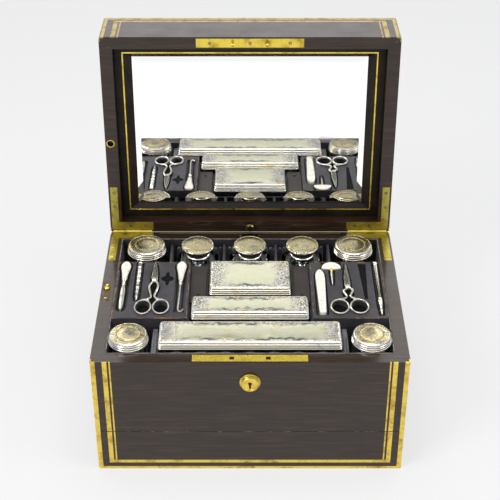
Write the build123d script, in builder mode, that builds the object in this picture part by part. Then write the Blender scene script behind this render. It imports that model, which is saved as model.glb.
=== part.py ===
from build123d import *
import os

# Antique fitted dressing box, open, in millimetres.
# The origin is the middle of the underside. The front faces -Y and +Z is up.
# The lid is drawn closed and then swung open on its hinges, as it stands at rest.

os.makedirs("parts", exist_ok=True)

# ---- Carcass -------------------------------------------------------------
WIDTH = 305.0
DEPTH = 226.0
BASE_HEIGHT = 137.0
LID_HEIGHT = 54.0
WALL = 13.0
LID_TOP = 7.0
FLOOR = 5.0
DECK = 6.0
DRAWER_TOP = 50.0          # height of the line between the drawer and the case front
LINING = 1.5
LID_LEAN = 3.0             # degrees that the open lid leans back past upright
LID_GAP = 0.4              # between the closed lid and the rim
SLIP = 0.3                 # running clearance between pieces that part or slide
SNUG = 0.35                # clearance of a cap over its neck

# The fitted parts keep their share of the well: these are 1 for the usual well.
USUAL_WELL = (276.0, 197.0)
ACROSS = (WIDTH - 2 * (WALL + LINING)) / USUAL_WELL[0]
ALONG = (DEPTH - 2 * (WALL + LINING)) / USUAL_WELL[1]
ROUND = min(ACROSS, ALONG)

# ---- Brass binding, inlay and plates ----------------------------------------
EDGE_BRASS = 5.0
EDGE_ROUND = 2.5           # the upright corners of case and lid
EDGE_THICK = 1.2
FOOT_BRASS = 3.0
BAND_WIDTH = 4.5           # the broad inlaid line
BAND_INSET = 11.7
LINE_WIDTH = 1.4           # the fine inlaid line inside it
LINE_INSET = 18.1
BAND_END_INSET = 8.0       # from the foot of the drawer and from the top of the lid
BAND_END_WIDTH = 3.6
INLAY_THICK = 0.8
PLATE_THICK = 1.5
LOCK_LENGTH = 110.5
LOCK_WIDTH = 9.8
LOCK_BODY_LENGTH = 62.0
LOCK_BODY_THICK = 8.0
LOCK_BODY_HEIGHT = 35.0
LINK_SPACING = 34.8
LINK_HOLE = 4.4
LINK_WIDTH = 2.6
LINK_DEPTH = 3.4
LINK_DROP = 7.0
BOLT_HEIGHT = 5.0
BOLT_THICK = 3.0
BOLT_TRAVEL = 3.0
STRIKER_LENGTH = 109.0
STRIKER_WIDTH = 9.4
ESCUTCHEON_RADIUS = 10.0
ESCUTCHEON_DROP = 24.0     # centre below the rim
ESCUTCHEON_PROUD = 5.0
ESCUTCHEON_LET_IN = 1.4
RELEASE_LENGTH = 33.8
RELEASE_WIDTH = 8.6
RELEASE_Y = 1.0
BUTTON_Y = 6.0
BUTTON_RADIUS = 2.6
BUTTON_PROUD = 3.2
BUTTON_TRAVEL = 3.0
ROD_RADIUS = 1.3
ROD_LENGTH = 70.0
HINGE_ARM = 55.0           # along the side
HINGE_BACK_ARM = 45.0      # along the back
HINGE_ARM_WIDTH = 7.7
HINGE_BACK_WIDTH = 9.5
HINGE_EDGE = 2.0           # from the outer face of the side
KNUCKLE_RADIUS = 2.2
KNUCKLE_END = 11.7
KNUCKLE_MIDDLE = 18.0
PIN_RADIUS = 1.1
PIN_FIT = 0.04

# ---- Drawer -----------------------------------------------------------------
DRAWER_FRONT_THICK = 11.7
DRAWER_SIDE = 6.0
DRAWER_BOTTOM = 3.0
DRAWER_SIDE_HEIGHT = 40.0
DRAWER_BACK_GAP = 2.6
SPRING_THICK = 0.7
SPRING_LENGTH = 90.0
SPRING_WIDTH = 12.0

# ---- Mirror in the lid --------------------------------------------------------
MIRROR_RECESS = 12.0       # face of the frame behind the lid's rim
FRAME_THICK = 9.0
FRAME_BORDER_X = 17.5      # from the lid's inner wall to the glass, at the sides
FRAME_BORDER_Y = 14.5
FRAME_FLAT = 9.5           # flat outer border before the slope down to the glass
FRAME_SLOPE_DEPTH = 4.5
GLASS_THICK = 3.0
GLASS_REBATE = 2.5
GLASS_BEVEL = 6.0
CATCH_RADIUS = 4.7
CATCH_PROUD = 5.0
CATCH_TRAVEL = 3.0
NOTCH_WIDTH = 17.0
NOTCH_DEPTH = 7.0
WALLET_THICK = 9.0
WALLET_INSET = 15.0
WALLET_CORNER = 8.0

# ---- Fitted interior -----------------------------------------------------------
BOARD = 2.3                # thickness of the dividers
BOARD_DROP = 5.3           # tops of the dividers below the rim
BACK_BOARD_Y = 49.7 * ALONG
FRONT_BOARD_Y = -47.6 * ALONG
CENTRE_BOARD_Y = -13.5 * ALONG
PANEL_BOARD_X = 62.1 * ACROSS
BOX_BOARD_X = 44.4 * ACROSS
BOTTLE_BOARD_X = (28.0 * ACROSS, 84.6 * ACROSS)
PAD_DIVIDER_X = 93.4 * ACROSS
PAD_DIVIDER_THICK = 3.0
FLUTE_PITCH = 5.0
FLUTE_DEPTH = 1.9
FLUTE_TOP_DROP = 9.0
FLUTED_LENGTH = 160.0 * ACROSS
PANEL_PROUD = 3.0
PANEL_OUTER_GAP = 0.4
PANEL_Y = (-48.1 * ALONG, 50.4 * ALONG)
PANEL_INNER_X = 62.4 * ACROSS
LITTLE_LID_THICK = 3.0
LITTLE_LID_WIDTH = 16.6 * ACROSS
STUD_RADIUS = 1.6
POCKET = 2.2               # depth of the beds of the tools

# ---- Containers ------------------------------------------------------------------
JAR_PROUD = 8.0
BOX_PROUD = 10.0
BACK_ROW_Y = 77.2 * ALONG
BIG_JAR_X = 110.5 * ACROSS
BIG_JAR_RADIUS = 20.2 * ROUND
SMALL_JAR_X = 118.0 * ACROSS
SMALL_JAR_Y = -78.5 * ALONG
SMALL_JAR_RADIUS = 19.0 * ROUND
JAR_CAP_HEIGHT = 9.5
JAR_WALL = 3.2
JAR_PANELS = 12            # flat panels cut round each jar
CAP_METAL = 1.1
BOTTLE_X = 56.0 * ACROSS
BOTTLE_CAP_RADIUS = 17.6 * ROUND
BOTTLE_CAP_THICK = 3.4
COLLAR_RADIUS = 12.2 * ROUND
COLLAR_HEIGHT = 9.0
BOTTLE_WIDTH = 43.0 * ACROSS
BOTTLE_DEPTH = 36.0 * ALONG
BOTTLE_CORNER = 7.0 * ROUND
BOTTLE_SHOULDER_DROP = 9.0
BOX_LID_HEIGHT = 11.0
BOX_GLASS_WALL = 4.0
BOX_CORNER = 3.0
BOX_SIZES = {              # name: (length, width, middle in Y)
    "front": (177.0 * ACROSS, 35.5 * ALONG, -75.8 * ALONG),
    "middle": (117.0 * ACROSS, 29.2 * ALONG, -30.9 * ALONG),
    "back": (83.0 * ACROSS, 50.6 * ALONG, 20.9 * ALONG),
}

# ---- Derived places ---------------------------------------------------------------
INNER_WIDTH = WIDTH - 2 * WALL
INNER_DEPTH = DEPTH - 2 * WALL
WELL_WIDTH = INNER_WIDTH - 2 * LINING
WELL_DEPTH = INNER_DEPTH - 2 * LINING
RIM = BASE_HEIGHT
LID_RIM = RIM + LID_GAP
LID_CROWN = LID_RIM + LID_HEIGHT
DECK_TOP = DRAWER_TOP + DECK
WELL_FLOOR = DECK_TOP
BOARD_TOP = RIM - BOARD_DROP
HINGE = Axis((0, DEPTH / 2, RIM + LID_GAP / 2), (1, 0, 0))
OPEN_ANGLE = 90 + LID_LEAN
BUTTON_X = -WIDTH / 2 + 5.6
HINGE_ROOT = KNUCKLE_RADIUS + SLIP + 0.1   # from the hinge line to the edge of the plates


def dome(radius, foot, top):
    """Arc from a circle's edge up to its crown, square to the Z axis there."""
    rise = top - foot
    sphere = (radius**2 + rise**2) / (2 * rise)
    middle = radius / 2
    return ThreePointArc(
        (radius, foot), (middle, top - sphere + (sphere**2 - middle**2) ** 0.5), (0, top))


def save(piece, name):
    """Label a finished piece and write it."""
    piece.part.label = name
    export_step(piece.part, f"parts/{name}.step")


def save_lid(piece, name):
    """Swing a piece that was drawn on the closed lid open, then label and write it."""
    opened = piece.part.rotate(HINGE, -OPEN_ANGLE)
    opened.label = name
    export_step(opened, f"parts/{name}.step")


# ---- Hinges --------------------------------------------------------------------------------
def hinge_plate_outline():
    """One flat L of a corner hinge pair, with its back edge clear of the knuckles."""
    back = DEPTH / 2 - HINGE_ROOT
    side = WIDTH / 2 - HINGE_EDGE
    with BuildSketch() as outline:
        with BuildLine():
            Polyline(
                (side, back),
                (side, DEPTH / 2 - HINGE_ARM),
                (side - HINGE_ARM_WIDTH, DEPTH / 2 - HINGE_ARM),
                (side - HINGE_ARM_WIDTH, back - HINGE_BACK_WIDTH),
                (side - HINGE_BACK_ARM, back - HINGE_BACK_WIDTH),
                (side - HINGE_BACK_ARM, back),
                close=True,
            )
        make_face()
        mirror(about=Plane.YZ)
    return outline.sketch


HINGE_PLATES = hinge_plate_outline()
HINGE_SIDE = WIDTH / 2 - HINGE_EDGE
KNUCKLE_START = HINGE_SIDE - 1.0
AXLE_Z = RIM + LID_GAP / 2
END_KNUCKLES = (KNUCKLE_START - KNUCKLE_END / 2,
                KNUCKLE_START - KNUCKLE_END * 1.5 - KNUCKLE_MIDDLE - 2 * SLIP)
MIDDLE_KNUCKLE = KNUCKLE_START - KNUCKLE_END - SLIP - KNUCKLE_MIDDLE / 2
BARREL_LENGTH = 2 * KNUCKLE_END + KNUCKLE_MIDDLE + 2 * SLIP
BARREL_MIDDLE = KNUCKLE_START - BARREL_LENGTH / 2


def knuckles(places, length, plate_bottom, bore=0.0):
    """Barrels on the hinge line with the tongues that join them to their plate."""
    root = DEPTH / 2 - HINGE_ROOT
    with BuildPart() as barrels:
        for place in places:
            for side in (-1, 1):
                with BuildSketch(Plane.YZ.offset(side * place - length / 2)):
                    with Locations((DEPTH / 2, AXLE_Z)):
                        Circle(KNUCKLE_RADIUS)
                    with Locations(((root + DEPTH / 2) / 2, plate_bottom + PLATE_THICK / 2)):
                        Rectangle(DEPTH / 2 - root, PLATE_THICK)
                    if bore:
                        with Locations((DEPTH / 2, AXLE_Z)):
                            Circle(bore, mode=Mode.SUBTRACT)
                extrude(amount=length)
    return barrels.part


with BuildPart() as base_hinge_leaves:
    with BuildSketch(Plane.XY.offset(RIM - PLATE_THICK)):
        add(HINGE_PLATES)
    extrude(amount=PLATE_THICK)
    add(knuckles(END_KNUCKLES, KNUCKLE_END, RIM - PLATE_THICK))
    # the pins are driven into the end knuckles, and the lid's middle knuckles turn on them
    for side in (-1, 1):
        with BuildSketch(Plane.YZ.offset(side * BARREL_MIDDLE - BARREL_LENGTH / 2)):
            with Locations((DEPTH / 2, AXLE_Z)):
                Circle(PIN_RADIUS)
        extrude(amount=BARREL_LENGTH)

with BuildPart() as lid_hinge_leaves:
    with BuildSketch(Plane.XY.offset(LID_RIM)):
        add(HINGE_PLATES)
    extrude(amount=PLATE_THICK)
    add(knuckles((MIDDLE_KNUCKLE,), KNUCKLE_MIDDLE, LID_RIM, PIN_RADIUS + PIN_FIT))

with BuildPart() as barrel_room:
    # what the boards and their brass lose round the barrels and their tongues
    for side in (-1, 1):
        with BuildSketch(Plane.YZ.offset(side * BARREL_MIDDLE - BARREL_LENGTH / 2 - SLIP)):
            with Locations((DEPTH / 2, AXLE_Z)):
                Circle(KNUCKLE_RADIUS + SLIP)
                Rectangle(2 * HINGE_ROOT, 2 * PLATE_THICK + LID_GAP)
        extrude(amount=BARREL_LENGTH + 2 * SLIP)

# ---- Brass on the case ---------------------------------------------------------------
with BuildPart() as base_brasswork:
    # four corner angles, a band round the foot, and the inlaid lines of the front
    with BuildSketch():
        RectangleRounded(WIDTH, DEPTH, EDGE_ROUND)
        Rectangle(WIDTH - 2 * EDGE_THICK, DEPTH - 2 * EDGE_THICK, mode=Mode.SUBTRACT)
        with GridLocations(WIDTH - EDGE_BRASS, DEPTH - EDGE_BRASS, 2, 2):
            Rectangle(EDGE_BRASS, EDGE_BRASS, mode=Mode.INTERSECT)
    extrude(amount=RIM)
    add(barrel_room.part, mode=Mode.SUBTRACT)
    with BuildSketch():
        RectangleRounded(WIDTH, DEPTH, EDGE_ROUND)
        Rectangle(WIDTH - 2 * EDGE_THICK, DEPTH - 2 * EDGE_THICK, mode=Mode.SUBTRACT)
    extrude(amount=FOOT_BRASS)
    for inset, width in ((BAND_INSET, BAND_WIDTH), (LINE_INSET, LINE_WIDTH)):
        with BuildSketch(Plane.XZ.offset(DEPTH / 2 - INLAY_THICK)):
            with GridLocations(WIDTH - 2 * inset - width, 0, 2, 1):
                with Locations((0, (RIM + DRAWER_TOP) / 2)):
                    Rectangle(width, RIM - DRAWER_TOP)
        extrude(amount=INLAY_THICK)

# ---- Lock in the front rim ---------------------------------------------------------------
LOCK_Y = -(DEPTH - WALL) / 2
BOLT_TOP = RIM - PLATE_THICK - LINK_DROP / 2
with BuildPart() as lock_plate:
    # the long plate and the lock body under it, with two link holes and the bolt's channel
    with BuildSketch(Plane.XY.offset(RIM - PLATE_THICK)) as lock_face:
        with Locations((0, LOCK_Y)):
            Rectangle(LOCK_LENGTH, LOCK_WIDTH)
    extrude(amount=PLATE_THICK)
    with BuildSketch(Plane.XY.offset(RIM - PLATE_THICK)) as lock_body:
        with Locations((0, LOCK_Y)):
            Rectangle(LOCK_BODY_LENGTH, LOCK_BODY_THICK)
    extrude(amount=-LOCK_BODY_HEIGHT)
    with BuildSketch(Plane.XY.offset(RIM)):
        with Locations((0, LOCK_Y)):
            with GridLocations(LINK_SPACING, 0, 2, 1):
                Rectangle(LINK_HOLE, LINK_HOLE)
    extrude(amount=-(LINK_DROP + 2.0), mode=Mode.SUBTRACT)
    with BuildSketch(Plane.XY.offset(BOLT_TOP + SLIP)):
        with Locations((0, LOCK_Y)):
            Rectangle(LOCK_BODY_LENGTH - 6.0, BOLT_THICK + 2 * SLIP)
    extrude(amount=-(BOLT_HEIGHT + 2 * SLIP), mode=Mode.SUBTRACT)
    with BuildSketch(Plane.XZ.offset(-LOCK_Y + LOCK_BODY_THICK / 2 + 1)):
        with Locations((0, RIM - ESCUTCHEON_DROP)):
            Circle(2.2)
        with Locations((0, RIM - ESCUTCHEON_DROP - 3.0)):
            Rectangle(2.2, 6.0)
    extrude(amount=-6.0, mode=Mode.SUBTRACT)

BOLT_LENGTH = LOCK_BODY_LENGTH - 6.0 - 2 * (BOLT_TRAVEL + SLIP)
with BuildPart() as lock_bolt:
    # a bar with two hooked fingers, notched where the lid's links come down
    with BuildSketch(Plane.XZ.offset(-LOCK_Y - BOLT_THICK / 2)):
        with Locations((-BOLT_TRAVEL / 2, BOLT_TOP - BOLT_HEIGHT / 2)):
            Rectangle(BOLT_LENGTH, BOLT_HEIGHT)
        with Locations((0, BOLT_TOP)):
            with GridLocations(LINK_SPACING, 0, 2, 1):
                Rectangle(LINK_HOLE + 2.0, 2 * (BOLT_HEIGHT - 1.2), mode=Mode.SUBTRACT)
    extrude(amount=BOLT_THICK)

with BuildPart() as escutcheon:
    # turned boss with a raised inner ring, pierced for the key
    with BuildSketch(Plane.YZ):
        with BuildLine():
            face = -DEPTH / 2 - ESCUTCHEON_PROUD
            Polyline(
                (-DEPTH / 2 + ESCUTCHEON_LET_IN, 0),
                (-DEPTH / 2 + ESCUTCHEON_LET_IN, ESCUTCHEON_RADIUS),
                (-DEPTH / 2 - 1.0, ESCUTCHEON_RADIUS),
                (-DEPTH / 2 - 1.6, ESCUTCHEON_RADIUS - 0.8),
                (-DEPTH / 2 - 2.8, ESCUTCHEON_RADIUS - 0.9),
                (-DEPTH / 2 - 3.3, ESCUTCHEON_RADIUS - 1.5),
                (face + 0.5, ESCUTCHEON_RADIUS - 1.6),
                (face, ESCUTCHEON_RADIUS - 2.1),
                (face, ESCUTCHEON_RADIUS - 3.2),
                (face + 0.6, ESCUTCHEON_RADIUS - 3.8),
                (face + 0.6, 0),
                close=True,
            )
        make_face()
    revolve(axis=Axis.Y)
    with BuildSketch(Plane.XZ.offset(DEPTH / 2 + ESCUTCHEON_PROUD + 1)):
        with Locations((0, 1.2)):
            Circle(1.9)
        with Locations((0, -1.8)):
            Rectangle(1.9, 6.0)
    extrude(amount=-(ESCUTCHEON_PROUD + ESCUTCHEON_LET_IN + 2), mode=Mode.SUBTRACT)
escutcheon.part.position = (0, 0, RIM - ESCUTCHEON_DROP)

# ---- Drawer release in the left rim --------------------------------------------------------
with BuildPart() as release_plate:
    with BuildSketch(Plane.XY.offset(RIM - PLATE_THICK)) as release_face:
        with Locations((BUTTON_X, RELEASE_Y)):
            Rectangle(RELEASE_WIDTH, RELEASE_LENGTH)
    extrude(amount=PLATE_THICK)
    with BuildSketch(Plane.XY.offset(RIM - PLATE_THICK)):
        with Locations((BUTTON_X, BUTTON_Y)):
            Circle(BUTTON_RADIUS + SLIP)
    extrude(amount=PLATE_THICK, mode=Mode.SUBTRACT)

with BuildPart() as release_button:
    # round-headed push rod
    with BuildSketch(Plane.XZ):
        with BuildLine():
            Polyline(
                (0, BUTTON_PROUD),
                (0, -ROD_LENGTH),
                (ROD_RADIUS, -ROD_LENGTH),
                (ROD_RADIUS, -PLATE_THICK - 4.0),
                (BUTTON_RADIUS, -PLATE_THICK - 4.0),
                (BUTTON_RADIUS, BUTTON_PROUD - 1.4),
            )
            dome(BUTTON_RADIUS, BUTTON_PROUD - 1.4, BUTTON_PROUD)
        make_face()
    revolve(axis=Axis.Z)
release_button.part.position = (BUTTON_X, BUTTON_Y, RIM)


# ---- Case ---------------------------------------------------------------------------------
MOUTH_WIDTH = WIDTH - 2 * EDGE_BRASS
with BuildPart() as case_shell:
    with BuildSketch():
        RectangleRounded(WIDTH, DEPTH, EDGE_ROUND)
        Rectangle(INNER_WIDTH, INNER_DEPTH, mode=Mode.SUBTRACT)
    extrude(amount=RIM)
    # the drawer's mouth, with a rebate for the ends of its front
    with BuildSketch():
        with Locations((0, -(DEPTH - WALL) / 2)):
            Rectangle(INNER_WIDTH, WALL)
        with Locations((0, -(DEPTH - DRAWER_FRONT_THICK - SLIP) / 2)):
            Rectangle(MOUTH_WIDTH, DRAWER_FRONT_THICK + SLIP)
    extrude(amount=DRAWER_TOP, mode=Mode.SUBTRACT)
    # beds for the brass, the lock, the hinges and the release
    add(base_brasswork.part, mode=Mode.SUBTRACT)
    with BuildSketch(Plane.XY.offset(RIM - PLATE_THICK)):
        add(lock_face.sketch)
        add(release_face.sketch)
        add(HINGE_PLATES)
    extrude(amount=PLATE_THICK, mode=Mode.SUBTRACT)
    with BuildSketch(Plane.XY.offset(RIM - PLATE_THICK)):
        add(lock_body.sketch)
    extrude(amount=-LOCK_BODY_HEIGHT, mode=Mode.SUBTRACT)
    add(barrel_room.part, mode=Mode.SUBTRACT)
    with BuildSketch(Plane.XY.offset(RIM)):
        with Locations((BUTTON_X, BUTTON_Y)):
            Circle(BUTTON_RADIUS + SLIP)
    extrude(amount=-(PLATE_THICK + 4.0 + BUTTON_TRAVEL + SLIP), mode=Mode.SUBTRACT)
    with BuildSketch(Plane.XY.offset(RIM)):
        with Locations((BUTTON_X, BUTTON_Y)):
            Circle(ROD_RADIUS + SLIP)
    extrude(amount=-(ROD_LENGTH + BUTTON_TRAVEL + SLIP), mode=Mode.SUBTRACT)
    with BuildSketch(Plane.XZ.offset(DEPTH / 2)):
        with Locations((0, RIM - ESCUTCHEON_DROP)):
            Circle(ESCUTCHEON_RADIUS)
    extrude(amount=-ESCUTCHEON_LET_IN, mode=Mode.SUBTRACT)
    with BuildSketch(Plane.XZ.offset(DEPTH / 2)):
        with Locations((0, RIM - ESCUTCHEON_DROP)):
            Circle(2.2)
        with Locations((0, RIM - ESCUTCHEON_DROP - 3.0)):
            Rectangle(2.2, 6.0)
    extrude(amount=-WALL / 2, mode=Mode.SUBTRACT)
    # the notch that takes the mirror catch when the lid is shut
    with BuildSketch(Plane.XY.offset(RIM)):
        with Locations((0, (INNER_DEPTH + WALL) / 2)):
            Rectangle(NOTCH_WIDTH, WALL * 0.78)
        with Locations((0, INNER_DEPTH / 2)):
            Rectangle(NOTCH_WIDTH, WALL * 0.4)
    extrude(amount=-NOTCH_DEPTH, mode=Mode.SUBTRACT)

with BuildPart() as case_floor:
    with BuildSketch():
        with Locations((0, (WALL - EDGE_THICK) / -2)):
            Rectangle(INNER_WIDTH, INNER_DEPTH + WALL - EDGE_THICK)
    extrude(amount=FLOOR)
    with BuildSketch(Plane.XY.offset(FOOT_BRASS)):
        with Locations((0, -(DEPTH - DRAWER_FRONT_THICK - SLIP) / 2)):
            Rectangle(INNER_WIDTH, DRAWER_FRONT_THICK + SLIP)
    extrude(amount=FLOOR, mode=Mode.SUBTRACT)

with BuildPart() as drawer_deck:
    with BuildSketch(Plane.XY.offset(DRAWER_TOP)):
        Rectangle(INNER_WIDTH, INNER_DEPTH)
    extrude(amount=DECK)

# ---- Lining and dividers of the fitted interior ---------------------------------------------
with BuildPart() as rim_lining:
    with BuildSketch(Plane.XY.offset(WELL_FLOOR)):
        Rectangle(INNER_WIDTH, INNER_DEPTH)
        Rectangle(WELL_WIDTH, WELL_DEPTH, mode=Mode.SUBTRACT)
    extrude(amount=RIM - WELL_FLOOR)
    with BuildSketch(Plane.XY.offset(RIM - NOTCH_DEPTH)):
        with Locations((0, INNER_DEPTH / 2)):
            Rectangle(NOTCH_WIDTH, WALL * 0.4)
    extrude(amount=NOTCH_DEPTH, mode=Mode.SUBTRACT)
    with BuildSketch(Plane.XY.offset(RIM - PLATE_THICK)):
        add(HINGE_PLATES)
    extrude(amount=PLATE_THICK, mode=Mode.SUBTRACT)


def boards(spans):
    """Upright divider boards on the well floor, each given as (x0, x1, y0, y1)."""
    with BuildPart() as group:
        with BuildSketch(Plane.XY.offset(WELL_FLOOR)):
            for x0, x1, y0, y1 in spans:
                with Locations(((x0 + x1) / 2, (y0 + y1) / 2)):
                    Rectangle(x1 - x0, y1 - y0)
        extrude(amount=BOARD_TOP - WELL_FLOOR)
    return group


BACK_FACE = BACK_BOARD_Y + BOARD / 2
FRONT_FACE = FRONT_BOARD_Y - BOARD / 2
cross_dividers = boards((
    (-WELL_WIDTH / 2, WELL_WIDTH / 2, BACK_BOARD_Y - BOARD / 2, BACK_FACE),
    (-WELL_WIDTH / 2, WELL_WIDTH / 2, FRONT_FACE, FRONT_BOARD_Y + BOARD / 2),
    (BOARD / 2 - PANEL_BOARD_X, PANEL_BOARD_X - BOARD / 2,
     CENTRE_BOARD_Y - BOARD / 2, CENTRE_BOARD_Y + BOARD / 2),
))
BOTTLE_WELL_BACK = WELL_DEPTH / 2 - FLUTE_DEPTH - SLIP
short_dividers = boards([
    (side * x - BOARD / 2, side * x + BOARD / 2, y0, y1)
    for side in (-1, 1)
    for x, y0, y1 in (
        (PANEL_BOARD_X, FRONT_BOARD_Y + BOARD / 2, BACK_BOARD_Y - BOARD / 2),
        (BOX_BOARD_X, CENTRE_BOARD_Y + BOARD / 2, BACK_BOARD_Y - BOARD / 2),
        (BOTTLE_BOARD_X[0], BACK_FACE, BOTTLE_WELL_BACK),
        (BOTTLE_BOARD_X[1], BACK_FACE, BOTTLE_WELL_BACK),
    )
])

with BuildPart() as padded_linings:
    # pleated leather: a row of upright rolls on the back wall, and two padded dividers in front
    flute_count = int(FLUTED_LENGTH / FLUTE_PITCH)
    with BuildSketch(Plane.XY.offset(WELL_FLOOR)):
        with Locations((0, WELL_DEPTH / 2 - 0.3)):
            Rectangle(flute_count * FLUTE_PITCH, 0.6)
        with Locations((0, WELL_DEPTH / 2 - 0.6)):
            with GridLocations(FLUTE_PITCH, 0, flute_count, 1):
                Ellipse(FLUTE_PITCH / 2 - 0.1, FLUTE_DEPTH - 0.6)
        with Locations((0, WELL_DEPTH / 2 + FLUTE_DEPTH)):
            Rectangle(WIDTH, 2 * FLUTE_DEPTH, mode=Mode.SUBTRACT)
    extrude(amount=RIM - FLUTE_TOP_DROP - WELL_FLOOR)
    pad_length = WELL_DEPTH / 2 + FRONT_FACE
    for side in (-1, 1):
        with BuildSketch(Plane.XZ.offset(-FRONT_FACE)):
            for roll in (-0.5, 0.5):
                with Locations((side * PAD_DIVIDER_X + roll * PAD_DIVIDER_THICK, 0)):
                    with Locations((0, (WELL_FLOOR + BOARD_TOP - 2) / 2)):
                        Rectangle(PAD_DIVIDER_THICK, BOARD_TOP - 2 - WELL_FLOOR)
                    with Locations((0, BOARD_TOP - 2)):
                        Circle(PAD_DIVIDER_THICK / 2)
        extrude(amount=pad_length)

# ---- Drawer -----------------------------------------------------------------------------------
DRAWER_FRONT_BACK = -DEPTH / 2 + DRAWER_FRONT_THICK
DRAWER_FOOT = FOOT_BRASS + SLIP
DRAWER_HEAD = DRAWER_TOP - SLIP
DRAWER_INLAY_FACE = DEPTH / 2 - INLAY_THICK
with BuildPart() as drawer_inlay:
    # a broad U of brass let into the drawer's front, with a fine upright inside each arm
    outer = WIDTH - 2 * BAND_INSET
    band_top = BAND_END_INSET + BAND_END_WIDTH
    with BuildSketch(Plane.XZ.offset(DRAWER_INLAY_FACE)):
        with Locations((0, (BAND_END_INSET + DRAWER_HEAD) / 2)):
            Rectangle(outer, DRAWER_HEAD - BAND_END_INSET)
        with Locations((0, (band_top + DRAWER_HEAD) / 2)):
            Rectangle(outer - 2 * BAND_WIDTH, DRAWER_HEAD - band_top, mode=Mode.SUBTRACT)
            with GridLocations(WIDTH - 2 * LINE_INSET - LINE_WIDTH, 0, 2, 1):
                Rectangle(LINE_WIDTH, DRAWER_HEAD - band_top)
    extrude(amount=INLAY_THICK)

with BuildPart() as drawer_front:
    with BuildSketch(Plane.XZ.offset(DEPTH / 2)):
        with Locations((0, (DRAWER_FOOT + DRAWER_HEAD) / 2)):
            Rectangle(MOUTH_WIDTH - 2 * SLIP, DRAWER_HEAD - DRAWER_FOOT)
    extrude(amount=-DRAWER_FRONT_THICK)
    add(drawer_inlay.part, mode=Mode.SUBTRACT)

DRAWER_WIDTH = INNER_WIDTH - 4 * SLIP
DRAWER_LENGTH = INNER_DEPTH / 2 - DRAWER_BACK_GAP - DRAWER_FRONT_BACK
with BuildPart() as drawer_box:
    # sides, back and bottom, open above and closed in front by the drawer's front
    with BuildSketch(Plane.XY.offset(FLOOR + SLIP)):
        with Locations((0, DRAWER_FRONT_BACK + DRAWER_LENGTH / 2)):
            Rectangle(DRAWER_WIDTH, DRAWER_LENGTH)
    extrude(amount=DRAWER_SIDE_HEIGHT)
    with BuildSketch(Plane.XY.offset(FLOOR + SLIP + DRAWER_BOTTOM)):
        with Locations((0, DRAWER_FRONT_BACK + DRAWER_LENGTH / 2 - DRAWER_SIDE / 2)):
            Rectangle(DRAWER_WIDTH - 2 * DRAWER_SIDE, DRAWER_LENGTH - DRAWER_SIDE)
    extrude(amount=DRAWER_SIDE_HEIGHT, mode=Mode.SUBTRACT)

with BuildPart() as drawer_spring:
    # bowed strip on the case back that starts the drawer out
    spring_rise = DRAWER_BACK_GAP - SPRING_THICK - SLIP
    back = INNER_DEPTH / 2
    with BuildSketch(Plane.XY.offset(DRAWER_SIDE_HEIGHT / 2)):
        with BuildLine():
            ThreePointArc(
                (-SPRING_LENGTH / 2, back), (0, back - spring_rise), (SPRING_LENGTH / 2, back))
            Line((SPRING_LENGTH / 2, back), (SPRING_LENGTH / 2, back - SPRING_THICK))
            ThreePointArc(
                (SPRING_LENGTH / 2, back - SPRING_THICK),
                (0, back - spring_rise - SPRING_THICK),
                (-SPRING_LENGTH / 2, back - SPRING_THICK))
            Line((-SPRING_LENGTH / 2, back - SPRING_THICK), (-SPRING_LENGTH / 2, back))
        make_face()
    extrude(amount=SPRING_WIDTH)

# ---- Lid, drawn closed -------------------------------------------------------------------------
with BuildPart() as lid_brasswork:
    # corner angles, the border of the crown, and the inlaid lines of front and crown
    with BuildSketch(Plane.XY.offset(LID_RIM)):
        RectangleRounded(WIDTH, DEPTH, EDGE_ROUND)
        Rectangle(WIDTH - 2 * EDGE_THICK, DEPTH - 2 * EDGE_THICK, mode=Mode.SUBTRACT)
        with GridLocations(WIDTH - EDGE_BRASS, DEPTH - EDGE_BRASS, 2, 2):
            Rectangle(EDGE_BRASS, EDGE_BRASS, mode=Mode.INTERSECT)
    extrude(amount=LID_HEIGHT)
    add(barrel_room.part, mode=Mode.SUBTRACT)
    with BuildSketch(Plane.XY.offset(LID_CROWN)):
        RectangleRounded(WIDTH, DEPTH, EDGE_ROUND)
        Rectangle(WIDTH - 2 * EDGE_THICK, DEPTH - 2 * EDGE_THICK, mode=Mode.SUBTRACT)
    extrude(amount=-EDGE_BRASS)
    with BuildSketch(Plane.XY.offset(LID_CROWN)):
        RectangleRounded(WIDTH, DEPTH, EDGE_ROUND)
        Rectangle(WIDTH - 2 * EDGE_BRASS, DEPTH - 2 * EDGE_BRASS, mode=Mode.SUBTRACT)
    extrude(amount=-EDGE_THICK)
    outer = WIDTH - 2 * BAND_INSET
    band_top = LID_CROWN - BAND_END_INSET
    band_foot = band_top - BAND_END_WIDTH
    with BuildSketch(Plane.XZ.offset(DEPTH / 2 - INLAY_THICK)):
        with Locations((0, (LID_RIM + band_top) / 2)):
            Rectangle(outer, band_top - LID_RIM)
        with Locations((0, (LID_RIM + band_foot) / 2)):
            Rectangle(outer - 2 * BAND_WIDTH, band_foot - LID_RIM, mode=Mode.SUBTRACT)
            with GridLocations(WIDTH - 2 * LINE_INSET - LINE_WIDTH, 0, 2, 1):
                Rectangle(LINE_WIDTH, band_foot - LID_RIM)
    extrude(amount=INLAY_THICK)
    for inset, width in ((BAND_INSET, BAND_WIDTH), (LINE_INSET, LINE_WIDTH)):
        with BuildSketch(Plane.XY.offset(LID_CROWN)):
            Rectangle(WIDTH - 2 * inset, DEPTH - 2 * inset)
            Rectangle(WIDTH - 2 * (inset + width), DEPTH - 2 * (inset + width), mode=Mode.SUBTRACT)
        extrude(amount=-INLAY_THICK)

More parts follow.
